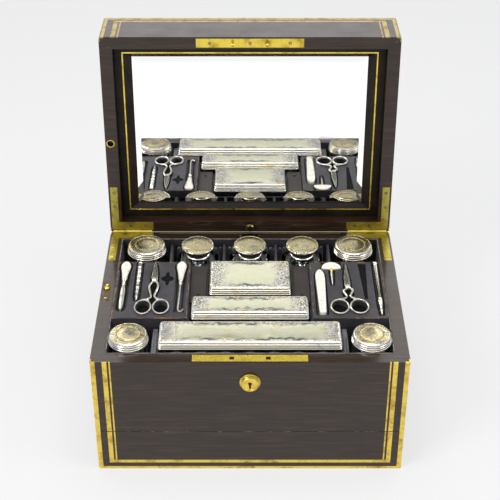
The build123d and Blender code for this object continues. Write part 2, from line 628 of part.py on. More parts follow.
with BuildPart() as striker_plate:
    # plate in the lid's front rim with two pierced links for the bolt
    with BuildSketch(Plane.XY.offset(LID_RIM)) as striker_face:
        with Locations((0, LOCK_Y)):
            Rectangle(STRIKER_LENGTH, STRIKER_WIDTH)
    extrude(amount=PLATE_THICK)
    for side in (-1, 1):
        with BuildSketch(Plane.YZ.offset(side * LINK_SPACING / 2 - LINK_WIDTH / 2)):
            with Locations((LOCK_Y, LID_RIM - LINK_DROP / 2 + 0.5)):
                Rectangle(LINK_DEPTH, LINK_DROP - 1.0)
            with Locations((LOCK_Y, LID_RIM - LINK_DROP + 1.0 + LINK_DEPTH / 4)):
                Circle(LINK_DEPTH / 2)
            with Locations((LOCK_Y, LID_RIM - LINK_DROP + 1.6 + LINK_DEPTH / 4)):
                Circle(0.9, mode=Mode.SUBTRACT)
        extrude(amount=LINK_WIDTH)

with BuildPart() as lid_shell:
    with BuildSketch(Plane.XY.offset(LID_RIM)):
        RectangleRounded(WIDTH, DEPTH, EDGE_ROUND)
    extrude(amount=LID_HEIGHT)
    with BuildSketch(Plane.XY.offset(LID_RIM)):
        Rectangle(INNER_WIDTH, INNER_DEPTH)
    extrude(amount=LID_HEIGHT - LID_TOP, mode=Mode.SUBTRACT)
    add(lid_brasswork.part, mode=Mode.SUBTRACT)
    with BuildSketch(Plane.XY.offset(LID_RIM)):
        add(striker_face.sketch)
        add(HINGE_PLATES)
    extrude(amount=PLATE_THICK, mode=Mode.SUBTRACT)
    add(barrel_room.part, mode=Mode.SUBTRACT)
    # socket for the release button, and the slot of the mirror catch
    with BuildSketch(Plane.XY.offset(LID_RIM)):
        with Locations((BUTTON_X, BUTTON_Y)):
            Circle(BUTTON_RADIUS + 1.8)
    extrude(amount=BUTTON_PROUD + 2.0, mode=Mode.SUBTRACT)
    with BuildSketch(Plane.XY.offset(LID_RIM)):
        with Locations((CATCH_TRAVEL / 2, (INNER_DEPTH + WALL) / 2)):
            Rectangle(CATCH_TRAVEL + 4.0 + 2 * SLIP, 4.0)
    extrude(amount=6.0, mode=Mode.SUBTRACT)

with BuildPart() as lid_wallet:
    # stiffened leather wallet that lines the crown behind the mirror
    with BuildSketch(Plane.XY.offset(LID_CROWN - LID_TOP)):
        Rectangle(INNER_WIDTH - 2 * SLIP, INNER_DEPTH - 2 * SLIP)
    extrude(amount=-2.0)
    with BuildSketch(Plane.XY.offset(LID_CROWN - LID_TOP - 2.0)):
        with Locations((0, WALL)):
            RectangleRounded(INNER_WIDTH - 2 * WALLET_INSET, INNER_DEPTH - 3 * WALL, WALLET_CORNER)
    extrude(amount=-(WALLET_THICK - 2.0), taper=35)

# ---- Mirror, drawn closed ------------------------------------------------------------------------
FRAME_FACE = LID_RIM + MIRROR_RECESS
GLASS_FACE = FRAME_FACE + FRAME_SLOPE_DEPTH
FRAME_SIZE = (INNER_WIDTH - 2 * SLIP, INNER_DEPTH - 2 * SLIP)
GLASS_SIZE = (INNER_WIDTH - 2 * FRAME_BORDER_X, INNER_DEPTH - 2 * FRAME_BORDER_Y)
FRAME_SWING = 2.6          # the heads of frame and lid stay clear as the frame swings
with BuildPart() as mirror_frame:
    # mitred border sloping down to the glass, closed behind by a backboard
    with BuildSketch(Plane.XY.offset(FRAME_FACE)):
        with Locations((0, FRAME_SWING / 2)):
            Rectangle(FRAME_SIZE[0], FRAME_SIZE[1] - FRAME_SWING)
    extrude(amount=FRAME_THICK + GLASS_THICK)
    with BuildSketch(Plane.XY.offset(FRAME_FACE)):
        Rectangle(FRAME_SIZE[0] - 2 * FRAME_FLAT, FRAME_SIZE[1] - 2 * FRAME_FLAT)
    with BuildSketch(Plane.XY.offset(GLASS_FACE)):
        Rectangle(*GLASS_SIZE)
    loft(mode=Mode.SUBTRACT)
    with BuildSketch(Plane.XY.offset(GLASS_FACE)):
        Rectangle(GLASS_SIZE[0] + 2 * GLASS_REBATE, GLASS_SIZE[1] + 2 * GLASS_REBATE)
    extrude(amount=GLASS_THICK, mode=Mode.SUBTRACT)

with BuildPart() as mirror_glass:
    with BuildSketch(Plane.XY.offset(GLASS_FACE)):
        Rectangle(GLASS_SIZE[0] + 2 * GLASS_REBATE, GLASS_SIZE[1] + 2 * GLASS_REBATE)
    extrude(amount=GLASS_THICK)
    pane = mirror_glass.faces().sort_by(Axis.Z)[0]
    chamfer(pane.edges(), length=GLASS_BEVEL + GLASS_REBATE, length2=1.0, reference=pane)

with BuildPart() as mirror_catch:
    # turned knob on a flat shank that slides sideways in the lid's back rim
    with BuildSketch(Plane.XZ):
        with BuildLine():
            Polyline(
                (0, -SLIP), (2.6, -SLIP), (3.4, -1.4), (CATCH_RADIUS, -2.2),
                (CATCH_RADIUS, -3.4), (CATCH_RADIUS - 1.5, -CATCH_PROUD), (0, -CATCH_PROUD),
                close=True,
            )
        make_face()
    revolve(axis=Axis.Z)
    with BuildSketch(Plane.XY.offset(-SLIP)):
        Rectangle(4.0, 4.0 - 2 * SLIP)
    extrude(amount=5.0)
mirror_catch.part.position = (0, (INNER_DEPTH + WALL) / 2, LID_RIM)


# ---- Glass jars and their silver caps ----------------------------------------------------------------
GLASS_FOOT = WELL_FLOOR + SLIP


def jar(x, y, radius):
    """A round jar: hollow glass cut in flat panels, with a neck, and a reeded, slightly domed silver cap."""
    top = RIM + JAR_PROUD
    skirt = top - JAR_CAP_HEIGHT
    neck = radius - CAP_METAL - SNUG
    bore = neck - JAR_WALL + 1.0
    with BuildPart() as glass:
        with BuildSketch(Plane.XZ):
            with BuildLine():
                Polyline(
                    (0, GLASS_FOOT + 4), (bore, GLASS_FOOT + 4), (bore, top - 2.4),
                    (neck, top - 2.4), (neck, skirt - SLIP), (radius - 0.6, skirt - SLIP))
                ThreePointArc((radius - 0.6, skirt - SLIP), (radius + 0.1, skirt - 1.6),
                              (radius + 0.1, skirt - 4))
                Polyline(
                    (radius + 0.1, skirt - 4), (radius + 0.1, GLASS_FOOT + 3),
                    (radius - 3, GLASS_FOOT), (0, GLASS_FOOT), (0, GLASS_FOOT + 4))
            make_face()
        revolve(axis=Axis.Z)
        with BuildSketch(Plane.XY.offset(GLASS_FOOT)):
            RegularPolygon(radius + 0.1, JAR_PANELS)
        extrude(amount=top - GLASS_FOOT, mode=Mode.INTERSECT)
    glass.part.position = (x, y, 0)
    reed = JAR_CAP_HEIGHT / 4.2
    with BuildPart() as cap:
        with BuildSketch(Plane.XZ):
            with BuildLine():
                inner = radius - CAP_METAL
                Polyline((0, top - 1.9), (inner, top - 1.9), (inner, skirt), (radius, skirt))
                for step in range(3):
                    foot = skirt + step * reed
                    proud = radius + 0.5 - 0.35 * step
                    ThreePointArc((proud - 0.5, foot), (proud, foot + reed / 2),
                                  (proud - 0.5, foot + reed))
                    if step < 2:
                        Line((proud - 0.5, foot + reed), (proud - 0.85, foot + reed))
                shoulder = radius - 0.7
                ThreePointArc((shoulder, skirt + 3 * reed), (shoulder - 0.8, top - 1.2),
                              (shoulder - 3, top - 0.7))
                dome(shoulder - 3, top - 0.7, top)
                Line((0, top), (0, top - 1.9))
            make_face()
        revolve(axis=Axis.Z)
    cap.part.position = (x, y, 0)
    return glass, cap


def bottle(x, y):
    """A square scent bottle with cut corners, and a disc cap on a tall silver collar."""
    top = RIM + JAR_PROUD
    disc = top - BOTTLE_CAP_THICK
    foot = disc - COLLAR_HEIGHT
    shoulder = RIM - BOTTLE_SHOULDER_DROP
    neck = COLLAR_RADIUS - CAP_METAL - SNUG
    with BuildPart() as glass:
        with BuildSketch(Plane.XY.offset(GLASS_FOOT)) as base:
            Rectangle(BOTTLE_WIDTH, BOTTLE_DEPTH)
            chamfer(base.vertices(), BOTTLE_CORNER)
        extrude(amount=shoulder - 4 - GLASS_FOOT)
        with BuildSketch(Plane.XY.offset(shoulder - 4)) as cut:
            Rectangle(BOTTLE_WIDTH, BOTTLE_DEPTH)
            chamfer(cut.vertices(), BOTTLE_CORNER)
        extrude(amount=4, taper=45)
        with BuildSketch(Plane.XY.offset(shoulder)):
            Circle(neck)
        extrude(amount=disc - 1.0 - shoulder)
        with BuildSketch(Plane.XY.offset(GLASS_FOOT + 5)):
            RectangleRounded(BOTTLE_WIDTH - 12, BOTTLE_DEPTH - 12, 5)
        extrude(amount=shoulder - 7 - GLASS_FOOT - 5, mode=Mode.SUBTRACT)
        with BuildSketch(Plane.XY.offset(shoulder - 8)):
            Circle(neck - JAR_WALL)
        extrude(amount=RIM, mode=Mode.SUBTRACT)
    glass.part.position = (x, y, 0)
    with BuildPart() as cap:
        with BuildSketch(Plane.XZ):
            with BuildLine():
                inner = COLLAR_RADIUS - CAP_METAL
                Polyline(
                    (0, disc), (inner, disc), (inner, foot), (COLLAR_RADIUS + 0.6, foot),
                    (COLLAR_RADIUS + 0.6, foot + 1), (COLLAR_RADIUS, foot + 1.4),
                    (COLLAR_RADIUS, disc - 1), (COLLAR_RADIUS + 1.5, disc),
                    (BOTTLE_CAP_RADIUS - 1.2, disc))
                ThreePointArc((BOTTLE_CAP_RADIUS - 1.2, disc),
                              (BOTTLE_CAP_RADIUS, disc + BOTTLE_CAP_THICK * 0.4),
                              (BOTTLE_CAP_RADIUS - 1.2, disc + BOTTLE_CAP_THICK * 0.8))
                dome(BOTTLE_CAP_RADIUS - 1.2, disc + BOTTLE_CAP_THICK * 0.8, top)
                Line((0, top), (0, disc))
            make_face()
        revolve(axis=Axis.Z)
    cap.part.position = (x, y, 0)
    return glass, cap


def box(length, width, y):
    """A long glass box: hollow, with a ground neck, under a reeded silver lid."""
    top = RIM + BOX_PROUD
    skirt = top - BOX_LID_HEIGHT
    inset = CAP_METAL + SNUG
    with BuildPart() as glass:
        with BuildSketch(Plane.XY.offset(GLASS_FOOT)):
            RectangleRounded(length, width, BOX_CORNER)
        extrude(amount=skirt - SLIP - GLASS_FOOT)
        chamfer(glass.faces().sort_by(Axis.Z)[0].edges(), 2.0)
        with BuildSketch(Plane.XY.offset(skirt - SLIP)):
            RectangleRounded(length - 2 * inset, width - 2 * inset, BOX_CORNER - inset / 2)
        extrude(amount=BOX_LID_HEIGHT - 2.6)
        with BuildSketch(Plane.XY.offset(GLASS_FOOT + 4)):
            RectangleRounded(length - 2 * BOX_GLASS_WALL, width - 2 * BOX_GLASS_WALL, 2.0)
        extrude(amount=RIM, mode=Mode.SUBTRACT)
    glass.part.position = (0, y, 0)
    reed = BOX_LID_HEIGHT / 5
    with BuildPart() as lid:
        for step in range(3):
            grow = 0.5 - 0.5 * step
            with BuildSketch(Plane.XY.offset(skirt + step * reed)):
                RectangleRounded(length + 2 * grow, width + 2 * grow, BOX_CORNER + grow)
            extrude(amount=reed)
        with BuildSketch(Plane.XY.offset(skirt + 3 * reed)):
            RectangleRounded(length - 1.6, width - 1.6, BOX_CORNER - 0.8)
        extrude(amount=top - skirt - 3 * reed)
        chamfer(lid.faces().sort_by(Axis.Z)[-1].edges(), 1.2)
        with BuildSketch(Plane.XY.offset(skirt)):
            RectangleRounded(length - 2 * CAP_METAL, width - 2 * CAP_METAL, BOX_CORNER - CAP_METAL / 2)
        extrude(amount=BOX_LID_HEIGHT - 2.0, mode=Mode.SUBTRACT)
    lid.part.position = (0, y, 0)
    return glass, lid


containers = {
    "big_jar_left": jar(-BIG_JAR_X, BACK_ROW_Y, BIG_JAR_RADIUS),
    "big_jar_right": jar(BIG_JAR_X, BACK_ROW_Y, BIG_JAR_RADIUS),
    "small_jar_left": jar(-SMALL_JAR_X, SMALL_JAR_Y, SMALL_JAR_RADIUS),
    "small_jar_right": jar(SMALL_JAR_X, SMALL_JAR_Y, SMALL_JAR_RADIUS),
    "bottle_left": bottle(-BOTTLE_X, BACK_ROW_Y),
    "bottle_middle": bottle(0, BACK_ROW_Y),
    "bottle_right": bottle(BOTTLE_X, BACK_ROW_Y),
    **{f"box_{name}": box(*size) for name, size in BOX_SIZES.items()},
}

# ---- Tool panels and little lids ------------------------------------------------------------------
PANEL_TOP = RIM + PANEL_PROUD
PANEL_OUTER_X = WELL_WIDTH / 2 - PANEL_OUTER_GAP
FILE_X, HOOK_X = -129.7 * ACROSS, -71.4 * ACROSS
FILE_HEAD, FILE_FERRULE = 49.0 * ALONG, 17.6 * ALONG
FILE_TIP, HOOK_TIP = -35.0 * ALONG, -37.5 * ALONG
CHASED_PENCIL_X, CHASED_PENCIL_Y = -115.0 * ACROSS, (-18.4 * ALONG, 48.0 * ALONG)
CHASED_PENCIL_RADIUS = 2.5
PLAIN_PENCIL_X, PLAIN_PENCIL_Y = 131.2 * ACROSS, (-43.0 * ALONG, 47.5 * ALONG)
PLAIN_PENCIL_RADIUS = 2.4
KNIFE_X, KNIFE_Y = 72.4 * ACROSS, (-41.9 * ALONG, 33.0 * ALONG)
KNIFE_WIDTH, KNIFE_THICK = 9.6, 4.6
PIERCER_X = 85.0 * ACROSS
PIERCER_FLAT, PIERCER_TOP, PIERCER_TIP = 37.4 * ALONG, 49.0 * ALONG, 9.0 * ALONG
PIERCER_HALF_WIDTH = 10.2 * ACROSS
PIERCER_THICK = 3.4        # low enough for the open scissors to pass over
HANDLE_HALF_WIDTH = 5.2
HANDLE_THICK = 4.2
BED_ROOM = 0.6             # round each tool in its bed
SCISSORS = {               # name: (pivot x, pivot y, blade, bow x, bow y, bow half width)
    "left": (-98.4 * ACROSS, 14.7 * ALONG, 34.5 * ALONG, 9.0 * ACROSS, -46.0 * ALONG, 8.4 * ACROSS),
    "right": (99.9 * ACROSS, 2.6 * ALONG, 43.5 * ALONG, 9.8 * ACROSS, -33.2 * ALONG, 9.3 * ACROSS),
}
BOW_HALF_LENGTH = 11.8 * ALONG
BOW_METAL = 1.7
SCISSOR_METAL = 1.5
SCISSOR_PIN = 1.2
EMPTY_SLOT = [(x * ACROSS, y * ALONG)
              for x, y in ((113.4, 46.0), (121.0, 46.0), (118.9, -15.0), (116.6, -15.0))]
EMPTY_BED = (-85.3 * ACROSS, 20.0 * ALONG)


def slot(x, y0, y1, width):
    """Rounded bed under one straight tool."""
    with Locations((x, (y0 + y1) / 2)):
        RectangleRounded(width + 2 * BED_ROOM, y1 - y0 + 2 * BED_ROOM, width / 2)


def panel(side):
    """Leather-covered board that sits on the dividers, with a bed for each of its tools."""
    pivot_x, pivot_y, _, bow_x, bow_y, bow_width = SCISSORS["left" if side < 0 else "right"]
    with BuildPart() as board:
        with BuildSketch(Plane.XY.offset(BOARD_TOP + SLIP)):
            with Locations((side * (PANEL_INNER_X + PANEL_OUTER_X) / 2, sum(PANEL_Y) / 2)):
                Rectangle(PANEL_OUTER_X - PANEL_INNER_X, PANEL_Y[1] - PANEL_Y[0])
        extrude(amount=PANEL_TOP - BOARD_TOP - SLIP)
        with BuildSketch(Plane.XY.offset(PANEL_TOP)):
            if side < 0:
                slot(FILE_X, FILE_TIP, FILE_HEAD, 2 * HANDLE_HALF_WIDTH)
                slot(HOOK_X, HOOK_TIP, FILE_HEAD, 2 * HANDLE_HALF_WIDTH)
                slot(CHASED_PENCIL_X, *CHASED_PENCIL_Y, 2 * CHASED_PENCIL_RADIUS)
                with Locations(EMPTY_BED):
                    Ellipse(6.5, 5.0)
                    Ellipse(2.4, 12.0)
            else:
                slot(KNIFE_X, *KNIFE_Y, KNIFE_WIDTH)
                slot(PLAIN_PENCIL_X, *PLAIN_PENCIL_Y, 2 * PLAIN_PENCIL_RADIUS + 1.0)
                slot(PIERCER_X, PIERCER_TIP, PIERCER_FLAT, 4.0)
                with Locations((PIERCER_X, (PIERCER_FLAT + PIERCER_TOP) / 2)):
                    Rectangle(2 * PIERCER_HALF_WIDTH + 1, PIERCER_TOP - PIERCER_FLAT + 1)
                with BuildLine():
                    Polyline(*EMPTY_SLOT, close=True)
                make_face()
        extrude(amount=-POCKET, mode=Mode.SUBTRACT)
        with BuildSketch(Plane.XY.offset(PANEL_TOP)):
            # deeper wells for the fingers under the scissors' bows
            for bow in (-1, 1):
                with Locations((pivot_x + bow * bow_x, pivot_y + bow_y)):
                    Ellipse(bow_width - BOW_METAL / 2, BOW_HALF_LENGTH - BOW_METAL / 2)
        extrude(amount=-2 * POCKET, mode=Mode.SUBTRACT)
    return board


def little_lid(side):
    """Thin lid of a narrow compartment, with a stud to lift it by."""
    y0, y1 = CENTRE_BOARD_Y - 0.6, BACK_BOARD_Y + 0.6
    x = side * (PANEL_INNER_X - 1.0 - LITTLE_LID_WIDTH / 2)
    with BuildPart() as lid:
        with BuildSketch(Plane.XY.offset(BOARD_TOP + SLIP)):
            with Locations((x, (y0 + y1) / 2)):
                Rectangle(LITTLE_LID_WIDTH, y1 - y0)
        extrude(amount=LITTLE_LID_THICK)
        chamfer(lid.faces().sort_by(Axis.Z)[-1].edges(), 0.6)
        with BuildSketch(Plane.XY.offset(BOARD_TOP + SLIP + LITTLE_LID_THICK)):
            with Locations((x, y0 + 13.0)):
                Circle(STUD_RADIUS)
        extrude(amount=1.6, taper=20)
    return lid


# ---- Tools --------------------------------------------------------------------------------------------
BED = PANEL_TOP - POCKET + SLIP


def handle(x):
    """Pear-shaped mother-of-pearl handle and its silver ferrule, lying along Y."""
    with BuildPart() as grip:
        with BuildSketch(Plane.XY.offset(BED)):
            with BuildLine():
                grip_length = FILE_HEAD - FILE_FERRULE
                neck = (HANDLE_HALF_WIDTH * 0.48, FILE_FERRULE)
                Spline(neck,
                       (HANDLE_HALF_WIDTH * 0.75, FILE_HEAD - grip_length * 0.57),
                       (HANDLE_HALF_WIDTH, FILE_HEAD - grip_length * 0.22),
                       (0, FILE_HEAD), tangents=((0.12, 1), (-1, 0)))
                Line(neck, (0, FILE_FERRULE))
                mirror(about=Plane.YZ)
            make_face()
        extrude(amount=HANDLE_THICK)
        chamfer(grip.faces().sort_by(Axis.Z)[-1].edges(), 1.0)
        with BuildSketch(Plane.XZ.offset(-FILE_FERRULE)):
            with Locations((0, BED + 1.9)):
                Circle(1.9)
        extrude(amount=9.0, taper=2)
    grip.part.position = (x, 0, 0)
    return grip.part


with BuildPart() as nail_file:
    add(handle(FILE_X))
    with BuildSketch(Plane.XY.offset(BED + 1.0)):
        with BuildLine():
            Polyline((FILE_X - 1.7, FILE_FERRULE - 8), (FILE_X - 2.2, FILE_FERRULE - 14),
                     (FILE_X - 2.0, FILE_TIP + 7), (FILE_X, FILE_TIP), (FILE_X + 2.0, FILE_TIP + 7),
                     (FILE_X + 2.2, FILE_FERRULE - 14), (FILE_X + 1.7, FILE_FERRULE - 8), close=True)
        make_face()
    extrude(amount=1.4)

with BuildPart() as button_hook:
    add(handle(HOOK_X))
    with BuildSketch(Plane.XY.offset(BED + 1.0)):
        with BuildLine():
            Polyline((HOOK_X, FILE_FERRULE - 7), (HOOK_X - 0.8, HOOK_TIP + 6))
            ThreePointArc((HOOK_X - 0.8, HOOK_TIP + 6), (HOOK_X + 1.6, HOOK_TIP + 1),
                          (HOOK_X + 4.0, HOOK_TIP + 5))
        trace(line_width=1.8)
    extrude(amount=1.8)

def turned_pencil(span, radius, stations):
    """A pencil turned about Y. Each station is (share of its length, share of its radius)."""
    length = span[1] - span[0]
    with BuildPart() as pencil:
        with BuildSketch(Plane.XY):
            with BuildLine():
                Polyline((0, span[0]), *[(radius * r, span[0] + length * at) for at, r in stations],
                         (0, span[1]), close=True)
            make_face()
        revolve(axis=Axis.Y)
    return pencil


# short silver pencil with a waist and beads
chased_pencil = turned_pencil(CHASED_PENCIL_Y, CHASED_PENCIL_RADIUS, (
    (0, 0.36), (0.105, 0.8), (0.41, 0.8), (0.44, 1), (0.48, 1), (0.51, 0.75), (0.56, 1), (0.97, 1), (1, 0.6)))
chased_pencil.part.position = (CHASED_PENCIL_X, 0, BED + CHASED_PENCIL_RADIUS)

# long propelling pencil with a knob, a sliding ring and a fine nose
plain_pencil = turned_pencil(PLAIN_PENCIL_Y, PLAIN_PENCIL_RADIUS, (
    (0, 0.25), (0.13, 0.5), (0.18, 0.8), (0.265, 0.8), (0.275, 1.12), (0.31, 1.12), (0.32, 1), (0.935, 0.8),
    (0.95, 1.2), (0.985, 1.2), (1, 0.6)))
plain_pencil.part.position = (PLAIN_PENCIL_X, 0, BED + PLAIN_PENCIL_RADIUS + 0.5)

with BuildSketch() as knife_outline:
    with BuildLine():
        y0, y1 = KNIFE_Y
        half = KNIFE_WIDTH / 2
        Spline((-half, y1 - 14), (-half * 0.74, y1 - 4.5), (0, y1), (half * 0.74, y1 - 5.5), (half, y1 - 16),
               tangents=((0, 1), (0.1, -1)))
        Line((half, y1 - 16), (half * 0.75, y0 + 1.5))
        ThreePointArc((half * 0.75, y0 + 1.5), (0, y0), (-half * 0.6, y0 + 1.5))
        Line((-half * 0.6, y0 + 1.5), (-half, y1 - 14))
    make_face()

with BuildPart() as penknife:
    # folded knife: two pearl scales over the closed blade
    with BuildSketch(Plane.XY.offset(BED)):
        add(knife_outline.sketch)
    extrude(amount=KNIFE_THICK)
    with BuildSketch(Plane.YZ.offset(-KNIFE_WIDTH)):
        with Locations(((y0 + y1) / 2, BED + KNIFE_THICK / 2)):
            Rectangle(y1 - y0 - 12, 0.7)
    extrude(amount=KNIFE_WIDTH - 1.0, mode=Mode.SUBTRACT)
penknife.part.position = (KNIFE_X, 0, 0)

with BuildPart() as piercer:
    # pearl half-moon handle across a tapering steel shank
    with BuildSketch(Plane.XY.offset(BED)):
        with BuildLine():
            ThreePointArc((-PIERCER_HALF_WIDTH, PIERCER_FLAT), (0, PIERCER_TOP),
                          (PIERCER_HALF_WIDTH, PIERCER_FLAT))
            Line((PIERCER_HALF_WIDTH, PIERCER_FLAT), (-PIERCER_HALF_WIDTH, PIERCER_FLAT))
        make_face()
    extrude(amount=PIERCER_THICK)
    chamfer(piercer.faces().sort_by(Axis.Z)[-1].edges(), 1.0)
    with BuildSketch(Plane.XZ.offset(-PIERCER_FLAT)):
        with Locations((0, BED + PIERCER_THICK / 2)):
            Circle(1.6)
    extrude(amount=PIERCER_FLAT - PIERCER_TIP, taper=2)
piercer.part.position = (PIERCER_X, 0, 0)


def scissors_half(spec, side):
    """One blade with its shank and oval bow. The lower half also carries the rivet."""
    pivot_x, pivot_y, blade, bow_x, bow_y, bow_width = spec
    low = PANEL_TOP + SLIP
    layer = low if side < 0 else low + SCISSOR_METAL + SLIP
    bow_low = low if side < 0 else low + SLIP
    bow_top = bow_low + 2 * SCISSOR_METAL + SLIP
    with BuildPart() as half:
        with BuildSketch(Plane.XY.offset(layer)):
            with BuildLine():
                Polyline((side * 2.2, -3), (-side * 3.2, 1), (-side * 2.8, blade * 0.45),
                         (-side * 0.2, blade), (side * 1.2, blade * 0.4), (side * 3.0, 0), close=True)
            make_face()
            with BuildLine():
                neck_y = bow_y + BOW_HALF_LENGTH + 4
                Spline((side * 1.4, -2), (side * 5.0, neck_y * 0.45), (side * 2.3, neck_y),
                       (side * (bow_x - 3.5), bow_y + BOW_HALF_LENGTH - 1.5))
            trace(line_width=2.6)
        extrude(amount=SCISSOR_METAL)
        with BuildSketch(Plane.XY.offset(bow_low)):
            with Locations((side * bow_x, bow_y)):
                Ellipse(bow_width, BOW_HALF_LENGTH)
                Ellipse(bow_width - BOW_METAL, BOW_HALF_LENGTH - BOW_METAL, mode=Mode.SUBTRACT)
        extrude(amount=bow_top - bow_low)
        if side < 0:
            with BuildSketch(Plane.XY.offset(low)):
                Circle(SCISSOR_PIN)
            extrude(amount=2 * SCISSOR_METAL + SLIP + 0.6)
            with BuildSketch(Plane.XY.offset(low + 2 * SCISSOR_METAL + SLIP + 0.1)):
                Circle(2.3)
            extrude(amount=0.6)
        else:
            with BuildSketch(Plane.XY.offset(layer)):
                Circle(SCISSOR_PIN + PIN_FIT)
            extrude(amount=SCISSOR_METAL, mode=Mode.SUBTRACT)
    half.part.position = (pivot_x, pivot_y, 0)
    return half


# ---- Write every piece -------------------------------------------------------------------------------------
fixed_pieces = {
    "case_shell": case_shell, "case_floor": case_floor, "drawer_deck": drawer_deck,
    "rim_lining": rim_lining, "cross_dividers": cross_dividers, "short_dividers": short_dividers,
    "padded_linings": padded_linings,
    "base_brasswork": base_brasswork, "lock_plate": lock_plate, "lock_bolt": lock_bolt,
    "escutcheon": escutcheon, "release_plate": release_plate, "release_button": release_button,
    "base_hinge_leaves": base_hinge_leaves,
    "drawer_front": drawer_front, "drawer_box": drawer_box, "drawer_inlay": drawer_inlay,
    "drawer_spring": drawer_spring, "nail_file": nail_file, "button_hook": button_hook,
    "chased_pencil": chased_pencil, "plain_pencil": plain_pencil, "penknife": penknife,
    "piercer": piercer,
}
for name, piece in fixed_pieces.items():
    save(piece, name)
for name, side in (("left", -1), ("right", 1)):
    save(panel(side), f"tool_panel_{name}")
    save(little_lid(side), f"little_lid_{name}")
    save(scissors_half(SCISSORS[name], -1), f"scissors_{name}_lower")
    save(scissors_half(SCISSORS[name], 1), f"scissors_{name}_upper")
for name, (glass, cap) in containers.items():
    save(glass, f"{name}_glass")
    save(cap, f"{name}_cap")
lid_pieces = {
    "lid_shell": lid_shell, "lid_brasswork": lid_brasswork, "striker_plate": striker_plate,
    "lid_hinge_leaves": lid_hinge_leaves, "lid_wallet": lid_wallet, "mirror_frame": mirror_frame,
    "mirror_glass": mirror_glass, "mirror_catch": mirror_catch,
}
for name, piece in lid_pieces.items():
    save_lid(piece, name)
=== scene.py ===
# %% [markdown]
# # An ebonised dressing box, bound in brass
# The box stands open. Its case, lid, drawer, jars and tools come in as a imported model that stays
# where it is. This notebook gives each its finish, and makes the fine work that the plain model
# leaves out, such as reeded silver rims, screws and pleated satin.

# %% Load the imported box
import math
import random

import bmesh
import bpy
from mathutils import Matrix, Vector


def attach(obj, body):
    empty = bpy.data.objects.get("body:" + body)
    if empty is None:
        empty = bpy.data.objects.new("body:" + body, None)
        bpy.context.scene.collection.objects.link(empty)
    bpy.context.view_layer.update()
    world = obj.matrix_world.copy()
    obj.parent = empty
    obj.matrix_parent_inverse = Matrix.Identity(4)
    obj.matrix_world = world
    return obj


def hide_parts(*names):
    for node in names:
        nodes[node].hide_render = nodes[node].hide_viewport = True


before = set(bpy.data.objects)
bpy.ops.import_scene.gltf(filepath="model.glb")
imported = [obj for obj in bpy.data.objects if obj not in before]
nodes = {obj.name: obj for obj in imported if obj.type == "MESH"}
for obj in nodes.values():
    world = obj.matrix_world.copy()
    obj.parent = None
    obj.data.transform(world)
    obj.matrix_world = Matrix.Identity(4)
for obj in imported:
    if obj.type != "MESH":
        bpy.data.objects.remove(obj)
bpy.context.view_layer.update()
MM = 0.001

# %% [markdown]
# ## The camera
# The box is seen from the front and from well above, as by someone standing at a table. A long
# lens keeps its sides nearly parallel. It is aimed at a point inside the open lid, so that case
# and lid fill the picture evenly. The Standard view shows each colour as it is written.

# %% Camera
PITCH = math.radians(34)      # how far the camera looks down
DISTANCE, LENS_MM, SENSOR_MM = 1.25, 90.1, 36.0
TARGET = Vector((0, 0, 0.1893))


def add_object(name, data):
    made = bpy.data.objects.new(name, data)
    bpy.context.collection.objects.link(made)
    return made


camera = add_object("camera", bpy.data.cameras.new("camera"))
camera.data.lens = LENS_MM
camera.data.sensor_width = SENSOR_MM
camera.data.clip_end = 50
camera.location = TARGET + DISTANCE * Vector((0, -math.cos(PITCH), math.sin(PITCH)))
camera.rotation_euler = (math.pi / 2 - PITCH, 0, 0)
bpy.context.scene.camera = camera
bpy.context.scene.view_settings.view_transform = "Standard"
print("camera at", tuple(round(c, 3) for c in camera.location))

# %% [markdown]
# ## Colour and nodes
# Colours are written as hex, as in a paint program, and one function turns them to the linear
# light that the renderer works in. A small class adds nodes to a tree, each with its settings
# and links in one call, so that a material reads as a short list.

# %% Colours and a writer for node trees
def paint(hex_colour):
    parts = [int(hex_colour[i:i + 2], 16) / 255 for i in (1, 3, 5)]
    return [p / 12.92 if p <= 0.04045 else ((p + 0.055) / 1.055) ** 2.4 for p in parts] + [1]


class Nodes:
    """Writes a node tree. Each method adds nodes and gives back one output."""

    def __init__(self, tree):
        self.tree = tree

    def fill(self, node, inputs):
        for socket, value in inputs.items():
            if isinstance(value, bpy.types.NodeSocket):
                self.tree.links.new(value, node.inputs[socket])
            else:
                node.inputs[socket].default_value = value

    def add(self, kind, inputs, output=0, **settings):
        node = self.tree.nodes.new("ShaderNode" + kind)
        for name, value in settings.items():
            setattr(node, name, value)
        self.fill(node, inputs)
        return node.outputs[output]

    def maths(self, operation, *values):
        return self.add("Math", dict(enumerate(values)), operation=operation)

    def remap(self, value, low, high, to_low=0, to_high=1, **settings):
        return self.add("MapRange", {"Value": value, "From Min": low, "From Max": high,
                                     "To Min": to_low, "To Max": to_high}, **settings)

    def ramp(self, value, *stops):
        node = self.tree.nodes.new("ShaderNodeValToRGB")
        elements = node.color_ramp.elements
        for i, (position, colour) in enumerate(stops):
            stop = elements[i] if i < 2 else elements.new(position)
            stop.position, stop.color = position, paint(colour)
        self.fill(node, {0: value})
        return node.outputs["Color"]

    def blend(self, share, first, second):
        return self.add("Mix", {0: share, 6: first, 7: second}, 2, data_type="RGBA")

    def ray(self, kind):
        return self.add("LightPath", {}, f"Is {kind} Ray")

    def seen(self):
        """1 where the camera sees the surface, straight on, mirrored or through glass."""
        direct = self.maths("MAXIMUM", self.ray("Camera"), self.ray("Glossy"))
        return self.maths("MAXIMUM", direct, self.ray("Transmission"))


print("paint('#efefef') is", [round(c, 3) for c in paint("#efefef")])

# %% [markdown]
# ## A writer for finishes
# A finish is a material with one shader. Its patterns lie in the object's own coordinates, so
# they stay in place when the lid moves.

